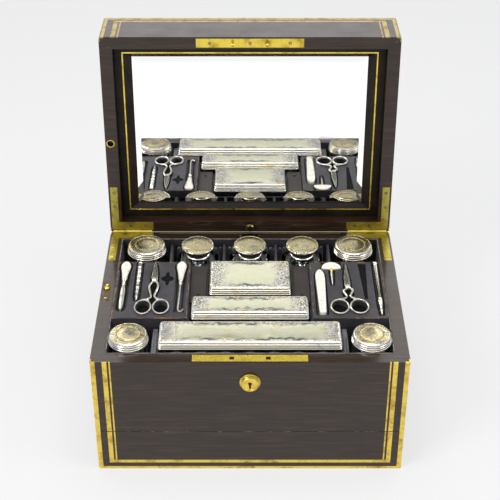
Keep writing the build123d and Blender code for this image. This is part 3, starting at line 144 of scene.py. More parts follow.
# %% Finish
class Finish(Nodes):
    """Writes a material's node tree. Sizes of patterns are in millimetres."""

    def __init__(self, name, **sockets):
        self.material = bpy.data.materials.new(name)
        self.material.use_nodes = True
        super().__init__(self.material.node_tree)
        self.shader = self.tree.nodes["Principled BSDF"]
        self.place = self.add("TexCoord", {}, "Object")
        self.set(**sockets)

    def set(self, **sockets):
        """Give shader inputs a value or a link, and return the material."""
        self.fill(self.shader, {name.replace("_", " "): value for name, value in sockets.items()})
        return self.material

    def noise(self, size, detail, output="Fac", at=None, **more):
        return self.add("TexNoise", {"Vector": at or self.place, "Scale": 1000 / size,
                                     "Detail": detail, **more}, output)

    def cells(self, size, at=None):
        return self.add("TexVoronoi", {"Vector": at or self.place, "Scale": 1000 / size},
                        "Distance")

    def stretched(self, scale):
        return self.add("Mapping", {"Vector": self.place, "Scale": scale})

    def bump(self, height, strength, distance, **settings):
        return self.add("Bump", {"Height": height, "Strength": strength,
                                 "Distance": distance}, **settings)


print("a finish builds on", Finish.__base__.__name__)

# %% [markdown]
# ## Floor, daylight and lamps
# The box stands on a plain pale sheet. The sheet and the sky show the same pale grey to the
# camera and in the silver, while the light that falls on the box stays soft and even. A bright
# wall behind the box shows only in polished things, such as the lid's top.

# %% Floor and lamps
BACKDROP = "#efefef"
FLOOR_DROP = 0.0004     # keeps the sheet just below the box's feet
PAPER_GLOW, PAPER_GLARE, ROOM_LIGHT, WALL_GLARE = 0.72, 0.3, 0.55, 2.3

floor_mesh = bmesh.new()
bmesh.ops.create_grid(floor_mesh, x_segments=1, y_segments=1, size=6)
bmesh.ops.translate(floor_mesh, verts=floor_mesh.verts, vec=(0, 0, -FLOOR_DROP))
floor = add_object("floor", bpy.data.meshes.new("floor"))
floor_mesh.to_mesh(floor.data)
floor_mesh.free()

sheet = Finish("pale_paper_sheet", Roughness=0.9, Base_Color=paint("#f2f2f2"),
               Specular_IOR_Level=0.1)
share = sheet.maths("MULTIPLY", sheet.seen(), PAPER_GLOW)
glare = sheet.maths("MULTIPLY_ADD", sheet.ray("Glossy"), PAPER_GLARE, 1)
glow = sheet.add("Emission", {"Color": paint(BACKDROP), "Strength": glare})
mixed = sheet.add("MixShader", {0: share, 1: sheet.shader.outputs[0], 2: glow})
sheet.fill(sheet.tree.nodes["Material Output"], {"Surface": mixed})
floor.data.materials.append(sheet.material)

world = bpy.data.worlds.new("pale_room")
bpy.context.scene.world = world
world.use_nodes = True
room = Nodes(world.node_tree)
room.tree.nodes.clear()
view = room.add("TexCoord", {}, "Generated")
height = room.add("SeparateXYZ", {0: view}, "Z")
sky = room.ramp(height, (0, "#5a5a5c"), (1, "#8f9194"), (0.3, "#b4b5b6"),
                (0.62, "#f4f3ee"), (0.8, "#c9cacb"))
colour = room.blend(room.ray("Glossy"), paint(BACKDROP), sky)
wall = room.remap(room.add("SeparateXYZ", {0: view}, "Y"), 0.55, 0.8, 0.2, WALL_GLARE)
bright = room.maths("MULTIPLY_ADD", room.ray("Glossy"), wall, 1)
shown = room.add("Background", {"Color": colour, "Strength": bright})
light = room.add("Background", {"Color": paint("#eef0f3"), "Strength": ROOM_LIGHT})
mixed = room.add("MixShader", {0: room.seen(), 1: light, 2: shown})
room.fill(room.tree.nodes.new("ShaderNodeOutputWorld"), {"Surface": mixed})

for name, stand, aim, size, watts in (
    ("window_left", (-1.3, -1.1, 1.5), (0, 0, 0.15), 0.9, 22),
    ("window_right", (1.5, -0.6, 1.1), (0, 0, 0.15), 0.9, 9),
    ("ceiling", (0, 0.1, 1.9), (0, 0, 0.1), 1.2, 16),
):
    lamp = bpy.data.lights.new(name, "AREA")
    lamp.shape = "SQUARE"
    lamp.size = size
    lamp.energy = watts
    lamp_object = add_object(name, lamp)
    lamp_object.location = stand
    lamp_object.rotation_euler = (Vector(aim) - Vector(stand)).to_track_quat("-Z", "Y").to_euler()
    print(name, watts, "W")

# %% [markdown]
# ## Ebonised rosewood, French polished
# The veneer is stained nearly black and rubbed with shellac. A faint brown figure still shows
# along the grain, and the shellac gives a clear gloss over it, with the soft smears of handling.

# %% Ebonised wood
FIGURE_MM, SMEAR_MM = 2.7, 25
wood = Finish("french_polished_ebonised_rosewood", Coat_Weight=0.62, Coat_Roughness=0.12,
              Specular_IOR_Level=0.15)
figure = wood.noise(FIGURE_MM, 6, at=wood.stretched((0.06, 1, 1)), Roughness=0.62,
                    Distortion=0.4)
ebonised = wood.set(
    Base_Color=wood.ramp(figure, (0.3, "#1b1009"), (0.72, "#3d2a1d"), (0.52, "#28190f")),
    Roughness=wood.remap(wood.noise(SMEAR_MM, 3), 0.3, 0.75, 0.3, 0.55),
    Normal=wood.bump(figure, 0.12, 0.0002))
print(ebonised.name)

# %% [markdown]
# ## Brass, polished long ago
# Brass is yellow copper and zinc. The edges that hands touch stay bright, and brown tarnish
# lies between them in soft patches, with fine scratches across both. The thin lines let into
# the lid have been lacquered over and are duller.

# %% Brass, and the browned iron of the release plate
SCRATCH_MM = 1 / 2.2


def brass_finish(name, bright, tarnished, patch_mm, roughness):
    brass = Finish(name, Metallic=1)
    patches = brass.noise(patch_mm, 6, Roughness=0.66)
    scratches = brass.noise(SCRATCH_MM, 2, at=brass.stretched((1, 0.12, 0.6)))
    return brass.set(
        Base_Color=brass.ramp(patches, (0.3, tarnished), (0.66, bright), (0.52, bright)),
        Roughness=brass.remap(patches, 0.35, 0.65, roughness + 0.15, roughness),
        Normal=brass.bump(scratches, 0.1, 0.00005))


bound_brass = brass_finish("aged_brass_binding", "#dcc158", "#a67f3a", 9, 0.27)
dulled_brass = brass_finish("dulled_brass_lines", "#ab9764", "#75633f", 9, 0.3)
plate_brass = brass_finish("rubbed_brass_plate", "#e3ca52", "#b08f35", 14, 0.22)
hinge_brass = brass_finish("browned_brass_hinge", "#b9ab52", "#6f6130", 10, 0.3)
smoked_brass = brass_finish("smoked_brass_knob", "#6f683c", "#2c281a", 5, 0.12)
browned_iron = brass_finish("browned_iron_plate", "#6d6257", "#4a3a2e", 4, 0.45)
print("five kinds of brass and an iron")

# %% [markdown]
# ## Silver, worn and warm
# The caps and lids are silver, once gilt. Some gilding is left as a warm tint, and a blue-grey
# bloom of sulphide lies beside it. The engraving is a ring or a border of fine leafy scrolls
# round a plain middle, whose outline waves in and out. Its cuts are dark, because polish can't
# reach them. The UV map from_edge tells the material how far each point is from the edge.

# %% Silver
SCROLL_MM = 2.6     # from one engraved scroll to the next


def start_silver(name):
    silver = Finish(name, Metallic=1)
    bloom = silver.noise(24, 4, Roughness=0.55)
    ground = silver.ramp(bloom, (0.28, "#b4b8be"), (0.75, "#f0d6a4"), (0.4, "#f3f1ea"),
                         (0.6, "#faf4e4"))
    silver.set(Base_Color=ground, Roughness=silver.remap(bloom, 0.3, 0.7, 0.3, 0.17))
    return silver, bloom, ground


def engraved_finish(name, *middle, ink=0.75, gilt_from=0.0065, left_cut=0):
    silver, bloom, ground = start_silver(name)
    # how far in from the border this point is, with a wavering outline
    edge = silver.add("UVMap", {}, uv_map="from_edge")
    from_end, from_side = (silver.add("SeparateXYZ", {0: edge}, axis) for axis in "XY")
    nearest = silver.maths("MINIMUM", silver.maths("MULTIPLY", from_end, 0.38), from_side)
    waver = silver.noise(7, 2)
    wavy = silver.maths("MULTIPLY_ADD", waver, 0.006, nearest)
    plain = silver.remap(wavy, gilt_from, gilt_from + 0.0045, interpolation_type="SMOOTHSTEP")
    gilt = silver.ramp(silver.noise(16, 5, Roughness=0.6), *middle)
    colour = silver.blend(plain, ground, gilt)
    # sulphide gathers in streaks where the plain middle meets the engraving
    streak = silver.remap(silver.maths("MULTIPLY_ADD", waver, 0.009, from_side), 0.008, 0.0135)
    streak = silver.ramp(streak, (0, "#000000"), (1, "#000000"), (0.4, "#ffffff"))
    streak = silver.maths("MULTIPLY", streak, silver.remap(bloom, 0.6, 0.46))
    streak = silver.maths("MULTIPLY", streak, silver.remap(from_end, 0.018, 0.035))
    colour = silver.blend(streak, colour, paint("#454c58"))
    # leafy scrolls and punched dots, cut dark
    bend = silver.add("VectorMath", {0: silver.noise(2 * SCROLL_MM, 1, "Color"),
                                     1: (0.004, 0.004, 0)}, operation="MULTIPLY")
    swirled = silver.add("VectorMath", {0: silver.place, 1: bend}, operation="ADD")
    rings = silver.maths("MULTIPLY", silver.cells(SCROLL_MM, swirled), 13)
    scrolls = silver.remap(silver.maths("SINE", rings), 0.3, 0.75)
    dots = silver.remap(silver.noise(1.5, 1), 0.57, 0.64)
    depth = silver.maths("MULTIPLY", silver.maths("MAXIMUM", scrolls, dots),
                         silver.remap(wavy, 0.006, 0.0105, 1, left_cut))
    inked = silver.maths("MULTIPLY", depth, ink)
    return silver.set(Base_Color=silver.blend(inked, colour, paint("#3b3734")),
                      Normal=silver.bump(depth, 0.5, 0.0002, invert=True))


plain_silver = start_silver("worn_gilt_silver")[0].material
chased_silver = engraved_finish("engraved_silver_lid", (0.28, "#dfe0cb"), (0.76, "#f3dfa4"),
                                (0.42, "#f2f2d6"), (0.6, "#f6f3d8"))
browned_silver = engraved_finish("engraved_silver_cap", (0.3, "#7d848d"), (0.74, "#a97c42"),
                                 (0.44, "#cfc6a2"), (0.58, "#dccfa2"),
                                 ink=0.7, gilt_from=0.002, left_cut=0.45)
print("silver finishes ready")

# %% [markdown]
# ## Cut glass and silvered glass
# Lead crystal bends light strongly, so its index is about 1.55. The mirror is the same glass
# with tin behind it, and is made simply as a smooth metal.

# %% Glass, mirror
glass = Finish("cut_lead_crystal", IOR=1.55, Transmission_Weight=1,
               Base_Color=paint("#f4f8f7"))
crystal = glass.set(Roughness=glass.remap(glass.noise(8, 4), 0.45, 0.8, 0.02, 0.16))
# Painted glint: the mitre cuts take a pale half-metal finish, not glass.
painted_glint_cut = Finish("painted_glint_cut_edge", Metallic=0.6, Roughness=0.1,
                       Base_Color=paint("#f2f5f6")).material
plate = Finish("tin_backed_plate_glass", Metallic=1, Base_Color=paint("#fbfcfc"))
age = plate.noise(30, 8, Roughness=0.7)
looking_glass = plate.set(Roughness=plate.remap(age, 0.5, 0.8, 0.01, 0.12))
print(crystal.name, looking_glass.name)

# %% [markdown]
# ## Morocco leather and silk velvet
# Goatskin dyed nearly black covers the boards and the mirror's frame, with the close pebble of
# its grain. Velvet and satin are woven, but at this size a fine grain and more sheen will do.
# The satin is black cloth, and its mid and pale grey colours are painted sheen on its rolls.

# %% Leather, velvet, satin
# For the satin, the dye and worn colours are painted sheen: grey stops on a black cloth.
def leather_finish(name, dye, worn, grain_mm, roughness, shine=0.4, sheen=0.12):
    leather = Finish(name, Roughness=roughness, Sheen_Weight=sheen, Specular_IOR_Level=shine)
    return leather.set(
        Base_Color=leather.ramp(leather.noise(22, 6, Roughness=0.65), (0.42, dye), (0.78, worn)),
        Normal=leather.bump(leather.cells(grain_mm), 0.35, 0.0002, invert=True))


morocco = leather_finish("black_morocco_leather", "#2a282c", "#48444a", 0.8, 0.5)
brown_leather = leather_finish("brown_worn_leather", "#1f1815", "#35271f", 0.8, 0.5)
black_frame = leather_finish("polished_black_hide", "#140e0b", "#2c2019", 1.2, 0.35,
                             shine=0.2, sheen=0)
# The velvet's black also serves as the painted shadow round the tools' beds.
velvet = leather_finish("black_velvet_and_painted_shadow", "#0b0b0c", "#17171a", 0.5, 0.9,
                        shine=0.05, sheen=0.05)
# Painted sheen: the black satin is given grey, so that its rolls show highlights.
satin = leather_finish("black_satin_with_painted_sheen", "#47474c", "#8b8c94", 0.5, 0.3,
                       shine=0.8, sheen=0.4)
print("leathers and cloths ready")

# %% [markdown]
# ## Worn edges
# Where leather wraps an edge its black dye rubs off, and the tan hide shows in broken streaks.
# A pale, broken line runs along the inner edge of the lining.

# %% Worn leather edges and a pale line along the lining
def streaked_edge(name, dark, bare, from_share, to_share):
    edge = Finish(name, Roughness=0.6)
    streaks = edge.noise(9, 7, Roughness=0.75)
    return edge.set(Base_Color=edge.ramp(streaks, (from_share, dark), (to_share, bare)))


worn_edge = streaked_edge("rubbed_tan_leather_edge", "#2c2622", "#ab7846", 0.49, 0.62)
rubbed_line = streaked_edge("rubbed_edge_of_veneer", "#241a14", "#9a9080", 0.5, 0.66)
pale_lining_line = streaked_edge("pale_line_along_lining", "#3a3733", "#a39c8e", 0.4, 0.58)
print("edges ready")

# %% [markdown]
# ## Pearl and steel
# Mother-of-pearl is thin layers of shell. Its milky white turns faintly pink and green, and a
# clear polish lies over it. The blades are old bright steel with grey bloom.

# %% Pearl, steel
shell = Finish("mother_of_pearl", Roughness=0.3, Coat_Weight=0.6, Coat_Roughness=0.08)
pearl = shell.set(Base_Color=shell.ramp(
    shell.noise(7, 3, Distortion=2), (0.3, "#d0d2c4"), (0.72, "#e6d8cc"), (0.5, "#efebdd")))


def steel_finish(name, dark, pale):
    metal = Finish(name, Metallic=1)
    bloom = metal.noise(6, 6, Roughness=0.7)
    return metal.set(Base_Color=metal.ramp(bloom, (0.35, dark), (0.6, pale)),
                     Roughness=metal.remap(bloom, 0.3, 0.7, 0.4, 0.2))


steel = steel_finish("old_bright_steel", "#b5b0a6", "#f4f0e6")
# A darker copy of the steel, for the scissors' flat tops.
darker_top_steel = steel_finish("darker_steel_on_flat_tops", "#4c4f4b", "#7f8178")
screw = Finish("blued_steel_screw", Metallic=1, Roughness=0.38)
screw_steel = screw.set(Base_Color=screw.ramp(screw.noise(2, 5), (0.4, "#5a5247"),
                                              (0.6, "#8f8b80")))
print("pearl and three steels")

# %% [markdown]
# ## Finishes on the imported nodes
# Each node keeps its shape and takes one of the finishes above.

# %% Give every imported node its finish
CONTAINERS = ("big_jar_left", "big_jar_right", "small_jar_left", "small_jar_right", "bottle_left",
              "bottle_middle", "bottle_right", "box_front", "box_middle", "box_back")
FINISHES = {
    ebonised: ("case_shell", "case_floor", "drawer_deck", "drawer_front", "drawer_box",
               "lid_shell"),
    morocco: ("rim_lining", "cross_dividers", "short_dividers", "tool_panel_left",
              "tool_panel_right", "lid_wallet"),
    black_frame: ("mirror_frame",),
    brown_leather: ("little_lid_left", "little_lid_right"),
    bound_brass: ("base_brasswork", "drawer_inlay", "escutcheon"),
    dulled_brass: ("lid_brasswork",),
    smoked_brass: ("mirror_catch",),
    plate_brass: ("lock_plate", "lock_bolt", "striker_plate", "release_button"),
    hinge_brass: ("base_hinge_leaves", "lid_hinge_leaves"),
    browned_iron: ("release_plate",),
    steel: ("drawer_spring", "scissors_left_lower", "scissors_left_upper",
            "scissors_right_lower", "scissors_right_upper"),
    plain_silver: ("chased_pencil", "plain_pencil"),
    pearl: ("nail_file", "button_hook", "penknife", "piercer"),
    looking_glass: ("mirror_glass",),
    crystal: tuple(name + "_glass" for name in CONTAINERS),
    chased_silver: tuple(name + "_cap" for name in CONTAINERS),
}
for finish_used, names in FINISHES.items():
    for name in names:
        nodes[name].data.materials.clear()
        nodes[name].data.materials.append(finish_used)
finished = {name for names in FINISHES.values() for name in names}
print("unfinished:", sorted(set(nodes) - finished))

# %% [markdown]
# ## Making a piece
# Each new piece is drawn as a bmesh in place. One function turns it into an object, keeps its
# creases sharp and its curves smooth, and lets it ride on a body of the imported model. The lid's
# pieces are drawn as if it were shut and then swung open with it.

# %% Piece helper and the lid's swing
HINGE = Vector((0, 0.113, 0.1372))
OPENED = Matrix.Rotation(math.radians(-93), 4, "X")
SWING = Matrix.Translation(HINGE) @ OPENED @ Matrix.Translation(-HINGE)


def make_piece(name, mesh, finishes, body, stands_for=(), crease=35):
    if body in ("lid", "mirror"):
        bmesh.ops.transform(mesh, matrix=SWING, verts=mesh.verts)
    data = bpy.data.meshes.new(name)
    mesh.to_mesh(data)
    mesh.free()
    piece = add_object(name, data)
    for each in finishes:
        data.materials.append(each)
    data.shade_smooth()
    data.set_sharp_from_angle(angle=math.radians(crease))
    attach(piece, body)
    if stands_for:
        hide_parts(*stands_for)
    return piece


print("front rim of the open lid:", [round(c, 4) for c in SWING @ Vector((0, -0.113, 0.1374))])

# %% [markdown]
# ## Drawing in millimetres
# The same few moves make nearly every piece: set points, spin a line, lift a face, cut with a
# plane and round the edges. Each gets a short function that takes millimetres.

# %% Mesh helpers
def scaled(at):
    return [c * MM for c in at]


def add_verts(mesh, points):
    return [mesh.verts.new(scaled(at)) for at in points]


def spin_line(points, centre, axis, steps):
    """A mesh turned from a line of points about an axis through centre."""
    mesh = bmesh.new()
    verts = add_verts(mesh, points)
    edges = [mesh.edges.new(pair) for pair in zip(verts, verts[1:])]
    bmesh.ops.spin(mesh, geom=verts + edges, cent=scaled(centre), axis=axis, angle=math.tau,
                   steps=steps, use_merge=True)
    bmesh.ops.remove_doubles(mesh, verts=mesh.verts, dist=1e-6)
    return mesh


def extrude_up(mesh, faces, rise, drop=None, keep=False):
    """Extrude faces and lift the copy by rise. The old ones go if drop names a way."""
    grown = bmesh.ops.extrude_face_region(mesh, geom=faces, use_keep_orig=keep)["geom"]
    if drop:
        bmesh.ops.delete(mesh, geom=faces, context=drop)
    verts = [part for part in grown if isinstance(part, bmesh.types.BMVert)]
    bmesh.ops.translate(mesh, verts=verts, vec=(0, 0, rise))
    return verts, [part for part in grown if isinstance(part, bmesh.types.BMFace)]


def face_outwards(mesh):
    bmesh.ops.recalc_face_normals(mesh, faces=mesh.faces)


def face_up(mesh, up=1):
    for face in mesh.faces:
        if face.normal.z * up < 0:
            face.normal_flip()


def cut_across(mesh, at, normal):
    bmesh.ops.bisect_plane(mesh, geom=mesh.verts[:] + mesh.edges[:] + mesh.faces[:],
                           plane_co=at, plane_no=normal)


def round_off(mesh, parts, radius, segments=2, profile=0.5, affect="EDGES"):
    bmesh.ops.bevel(mesh, geom=parts, offset=radius * MM, segments=segments, profile=profile,
                    affect=affect, material=-1)


def add_block(mesh, size, middle):
    bmesh.ops.create_cube(mesh, size=1)
    bmesh.ops.scale(mesh, verts=mesh.verts, vec=scaled(size))
    bmesh.ops.translate(mesh, verts=mesh.verts, vec=scaled(middle))


def add_stud(mesh, at, low_radius, high_radius, depth, segments):
    made = bmesh.ops.create_cone(mesh, cap_ends=True, segments=segments, depth=depth * MM,
                                 radius1=low_radius * MM, radius2=high_radius * MM)
    bmesh.ops.translate(mesh, verts=made["verts"], vec=scaled(at))


def oval(x, y, across, along, steps=32):
    return [(x + across * math.cos(math.tau * k / steps),
             y + along * math.sin(math.tau * k / steps)) for k in range(steps)]


print("mesh helpers ready")

# %% [markdown]
# ## Turned silver caps
# A silversmith turns a cap on a lathe, so here a profile is spun round an axis. Three reeds run
# round the skirt, and the top is slightly domed. A UV map holds how far each point is from the
# edge, so that the engraving keeps to a ring round a plain middle.

# %% Lathe and edge map
def map_from_edge(mesh, distances):
    layer = mesh.loops.layers.uv.new("from_edge")
    for face in mesh.faces:
        for loop in face.loops:
            loop[layer].uv = distances(loop.vert.co)


def keep_skirt_plain(mesh, top, depth=1.9):
    for face in mesh.faces:
        flat = abs(face.normal.z) > 0.9 and face.calc_center_median().z > (top - depth) * MM
        face.material_index = 0 if flat else 1


def shifted(profile, outwards, up):
    return [(r + outwards, z + up) for r, z in profile]


def turn_cap(profile, x, y, radius, stretch):
    """Spin a cap and map its top. A larger stretch leaves a wider plain middle."""
    mesh = spin_line([(x + r, y, z) for r, z in profile], (x, y, 0), (0, 0, 1), 72)
    face_outwards(mesh)
    map_from_edge(mesh, lambda at: (
        stretch * (radius * MM - math.hypot(at.x - x * MM, at.y - y * MM)), 0.5))
    return mesh


def make_cap(name, mesh):
    make_piece(name + "_silver_cap", mesh, [browned_silver, plain_silver], name + "_cap",
               [name + "_cap"])


def reeded_skirt(radius, foot, height, reeds, depth=0.55):
    outline, rise = [], height / reeds
    for i in range(reeds):
        outline += shifted([(-depth, 0.02), (-depth * 0.3, rise * 0.14), (0, rise * 0.36),
                            (0, rise * 0.62), (-depth * 0.3, rise * 0.86)],
                           radius - 0.3 * i, foot + i * rise)
    return outline


JAR_TOP, JAR_HEIGHT, JAR_SHEET = 145, 9.5, 1.1
JAR_RIM = [
    (-0.7, -2.7), (-0.6, -1.7), (-0.9, -1.1), (-1.5, -0.85), (-1.9, -1), (-2.3, -0.75),
    (-8, -0.35), (-8.5, -0.5), (-9, -0.3)]
JARS = {"big_jar_left": (-110.5, 77.2, 20.2), "big_jar_right": (110.5, 77.2, 20.2),
        "small_jar_left": (-118, -78.5, 19), "small_jar_right": (118, -78.5, 19)}
for name, (x, y, radius) in JARS.items():
    foot, inner = JAR_TOP - JAR_HEIGHT, radius - JAR_SHEET
    profile = [(0, JAR_TOP - 1.9), (inner, JAR_TOP - 1.9), (inner, foot), (radius - 0.1, foot)]
    profile += reeded_skirt(radius + 0.5, foot, 6.6, 3) + shifted(JAR_RIM, radius, JAR_TOP)
    profile += [(radius * 0.3, JAR_TOP - 0.05), (0, JAR_TOP)]
    mesh = turn_cap(profile, x, y, radius, 2.4)
    keep_skirt_plain(mesh, JAR_TOP, 1.4)
    make_cap(name, mesh)
print(len(JARS), "reeded caps")

# %% [markdown]
# ## Disc caps of the scent bottles
# Each scent bottle has a flat button-like disc on a narrow collar. The edge is a half-round bead.

# %% Scent bottle caps
BOTTLES = {"bottle_left": -56, "bottle_middle": 0, "bottle_right": 56}
BOTTLE_ROW = 77.2
DISC_RADIUS, DISC_LOW, COLLAR_RADIUS, COLLAR_FOOT = 17.6, 141.6, 12.2, 132.6
COLLAR = [(-1.1, 0), (0.6, 0), (0.9, 0.5), (0.6, 1.1), (0, 1.5), (-0.3, 4.2), (0, 7.6), (1.4, 8.9)]
BEAD = [(-1.4, 0), (-0.4, 0.35), (0, 1.1), (-0.1, 1.9), (-0.7, 2.5), (-1.6, 2.65), (-2, 2.5),
        (-2.5, 2.75)]
for name, x in BOTTLES.items():
    profile = [(0, DISC_LOW), (COLLAR_RADIUS - 1.1, DISC_LOW)]
    profile += shifted(COLLAR, COLLAR_RADIUS, COLLAR_FOOT) + shifted(BEAD, DISC_RADIUS, DISC_LOW)
    profile += [(DISC_RADIUS * 0.5, DISC_LOW + 3.2), (0, DISC_LOW + 3.4)]
    mesh = turn_cap(profile, x, BOTTLE_ROW, DISC_RADIUS, 4)
    for face in mesh.faces:
        face.material_index = 0 if face.calc_center_median().z > (DISC_LOW + 0.5) * MM else 1
    make_cap(name, mesh)
print(len(BOTTLES), "disc caps")

# %% [markdown]
# ## Reeded box lids
# A box lid is stamped from sheet. It is built upwards here from one rounded rectangle: each step
# extrudes the top face, lifts it, and moves its outline in or out, which leaves the reeds, the
# rim and the raised panel. Solidify then gives the sheet its thickness inwards.

# %% Box lids
BOXES = {"box_front": (177, 35.5, -75.8), "box_middle": (117, 29.2, -30.9),
         "box_back": (83, 50.6, 20.9)}     # length, width, and the middle's place along Y
LID_FOOT, LID_CORNER, LID_SHEET = 136, 3, 0.7
REED = [(0.3, 0.4), (0.5, 0.15), (0.5, 0), (0.5, -0.15), (0.3, -0.4), (0.1, -0.25)]
LID_STEPS = REED * 3 + [(0.4, 0.1), (1.2, 0), (0.5, -0.2), (0.3, -0.4), (0.15, -0.6),
                        (-0.2, -0.2), (0.2, -0.2), (0.15, -0.9), (0.2, -2.6)]    # rise, change


def grow_outline(verts, y, length, width, change):
    for vert in verts:
        vert.co.x *= 1 + 2 * change / length
        vert.co.y = y * MM + (vert.co.y - y * MM) * (1 + 2 * change / width)


for name, (length, width, y) in BOXES.items():
    mesh = bmesh.new()
    bmesh.ops.create_grid(mesh, x_segments=1, y_segments=1, size=0.5)
    bmesh.ops.scale(mesh, verts=mesh.verts, vec=(length * MM, width * MM, 1))
    bmesh.ops.translate(mesh, verts=mesh.verts, vec=(0, y * MM, LID_FOOT * MM))
    round_off(mesh, mesh.verts[:], LID_CORNER, segments=5, affect="VERTICES")
    top = mesh.faces[:]
    for rise, change in LID_STEPS:
        verts, top = extrude_up(mesh, top, rise * MM, drop="FACES_KEEP_BOUNDARY")
        grow_outline(verts, y, length, width, change)
    for normal in ((1, 0, 0), (0, 1, 0)):
        cut_across(mesh, (0, y * MM, 0), normal)
    face_outwards(mesh)
    if max(mesh.faces, key=lambda face: face.calc_center_median().z).normal.z < 0:
        bmesh.ops.reverse_faces(mesh, faces=mesh.faces[:])
    map_from_edge(mesh, lambda at: (length / 2 * MM - abs(at.x),
                                    width / 2 * MM - abs(at.y - y * MM)))
    height = max(vert.co.z for vert in mesh.verts) / MM - LID_FOOT
    keep_skirt_plain(mesh, LID_FOOT + height)
    lid = make_piece(name + "_silver_lid", mesh, [chased_silver, plain_silver], name + "_cap",
                     [name + "_cap"], crease=50)
    sheet_metal = lid.modifiers.new("sheet", "SOLIDIFY")
    sheet_metal.thickness = LID_SHEET * MM
    sheet_metal.offset = -1
    print(name, "lid stands", round(height, 1), "mm high")

# %% [markdown]
# ## Screws
# The plates are held by countersunk screws, filed flush, each with one slot. A screw is a short
# cylinder whose middle strip is cut free by two planes and pushed down, which makes the slot.
# All the screws of one body are joined into one piece, since they never move apart.

# %% Screws
SCREW_FACE = {"case": 137, "lid": 137.4}      # the level of the plates
HINGE_SCREWS = [(side * x, y, 1.9) for x, y in ((146.6, 65), (146.6, 82), (114, 105.6),
                                                (130, 105.6)) for side in (-1, 1)]
CASE_SCREWS = HINGE_SCREWS + [(-147.2, 13.2, 1.5), (-147.2, -9.5, 1.5), (-10.6, 105.6, 1.2),
                              (10.6, 105.6, 1.2)]       # x, y, radius
LID_SCREWS = HINGE_SCREWS + [(-40.5, -106.5, 1.9), (0, -106.5, 1.9), (40.5, -106.5, 1.9)]
SLOT_TURNS = {"case": (20, 80, 65, 10, 40, 100, 75, 15, 35, 70, 30, 85),
              "lid": (50, 95, 5, 60, 25, 70, 110, 45, 60, 15, 85)}      # in degrees
SLOT_SHARE, SLOT_DEPTH, HEAD_HEIGHT, HEAD_SUNK = 0.14, 0.35, 0.5, 0.13


def add_screw(mesh, x, y, z, radius, turn, looks_down):
    """The head is drawn lying at the origin in millimetres, then placed."""
    head = bmesh.new()
    bmesh.ops.create_cone(head, cap_ends=True, segments=24, radius1=radius,
                          radius2=radius * 0.92, depth=HEAD_HEIGHT)
    slot = radius * SLOT_SHARE
    for side in (-1, 1):
        cut_across(head, (0, side * slot, 0), (0, 1, 0))
    strip = [face for face in head.faces
             if face.normal.z > 0.9 and abs(face.calc_center_median().y) < slot]
    extrude_up(head, strip, -SLOT_DEPTH, drop="FACES_ONLY")
    place = (Matrix.Scale(MM, 4)
             @ Matrix.Translation((x, y, z + (HEAD_SUNK if looks_down else -HEAD_SUNK)))
             @ Matrix.Rotation(math.pi if looks_down else 0, 4, "X")
             @ Matrix.Rotation(math.radians(turn), 4, "Z"))
    bmesh.ops.transform(head, matrix=place, verts=head.verts)
    scratch = bpy.data.meshes.new("scratch")
    head.to_mesh(scratch)
    head.free()
    mesh.from_mesh(scratch)
    bpy.data.meshes.remove(scratch)


for body, places in (("case", CASE_SCREWS), ("lid", LID_SCREWS)):
    mesh = bmesh.new()
    for (x, y, radius), turn in zip(places, SLOT_TURNS[body]):
        add_screw(mesh, x, y, SCREW_FACE[body], radius, turn, looks_down=body == "lid")
    make_piece(body + "_screws", mesh, [screw_steel if body == "lid" else plate_brass], body)
    print(len(places), "screws on the", body)

# %% [markdown]
# ## Thin frames and lines
# A gilt line runs round the mirror's leather frame, the edges of the tool panels have worn brown,
# and a pale line runs along the lining. Each is a flat ring between two rectangles,
# given a little thickness.

# %% Lines
def make_line(name, body, finish_used, middle, size, width, thickness):
    mesh = bmesh.new()
    outer, inner = (add_verts(mesh, [
        (middle[0] + side_x * (size[0] / 2 - inset), middle[1] + side_y * (size[1] / 2 - inset),
         middle[2]) for side_x, side_y in ((-1, -1), (1, -1), (1, 1), (-1, 1))])
        for inset in (0, width))
    ring = [mesh.faces.new((outer[k - 1], outer[k], inner[k], inner[k - 1])) for k in range(4)]
    extrude_up(mesh, ring, thickness * MM, keep=True)
    face_outwards(mesh)
    make_piece(name, mesh, [finish_used], body)


make_line("mirror_gilt_line", "mirror", plate_brass, (0, 0, 149.55), (263, 184), 1.4, -0.3)
for side, x in (("left", -100), ("right", 100)):
    make_line("worn_edge_" + side, "tool_panel_" + side, worn_edge, (x, 1.15, 139.95),
              (74.9, 98.2), 0.9, 0.2)
make_line("lining_edge", "case", pale_lining_line, (0, 0, 136.95), (277.2, 198.2), 0.6, 0.12)
print("four thin lines")

# %% [markdown]
# ## Pearl-handled tools
# The nail file and the button hook have pear-shaped handles of pearl, a silver ferrule with
# rings, and a steel blade. Handle and ferrule are turned about the tool's own length, and the
# handle is then flattened a little. The blade starts as a flat bar and is pinched to a tip.

# %% Tools with handles
BED_HEIGHT = 138.1
FILE_X, HOOK_X = -129.7, -71.4


def turn_along(profile, x, z, deepest=9, steps=28):
    """Turn a profile of (y, radius) about a line along Y, no deeper than deepest."""
    mesh = spin_line([(x + r, y, z) for y, r in profile], (x, 0, z), (0, 1, 0), steps)
    for vert in mesh.verts:
        radius = math.hypot(vert.co.x - x * MM, vert.co.z - z * MM)
        if radius > deepest * MM:
            vert.co.z = z * MM + (vert.co.z - z * MM) * deepest * MM / radius
    face_outwards(mesh)
    return mesh


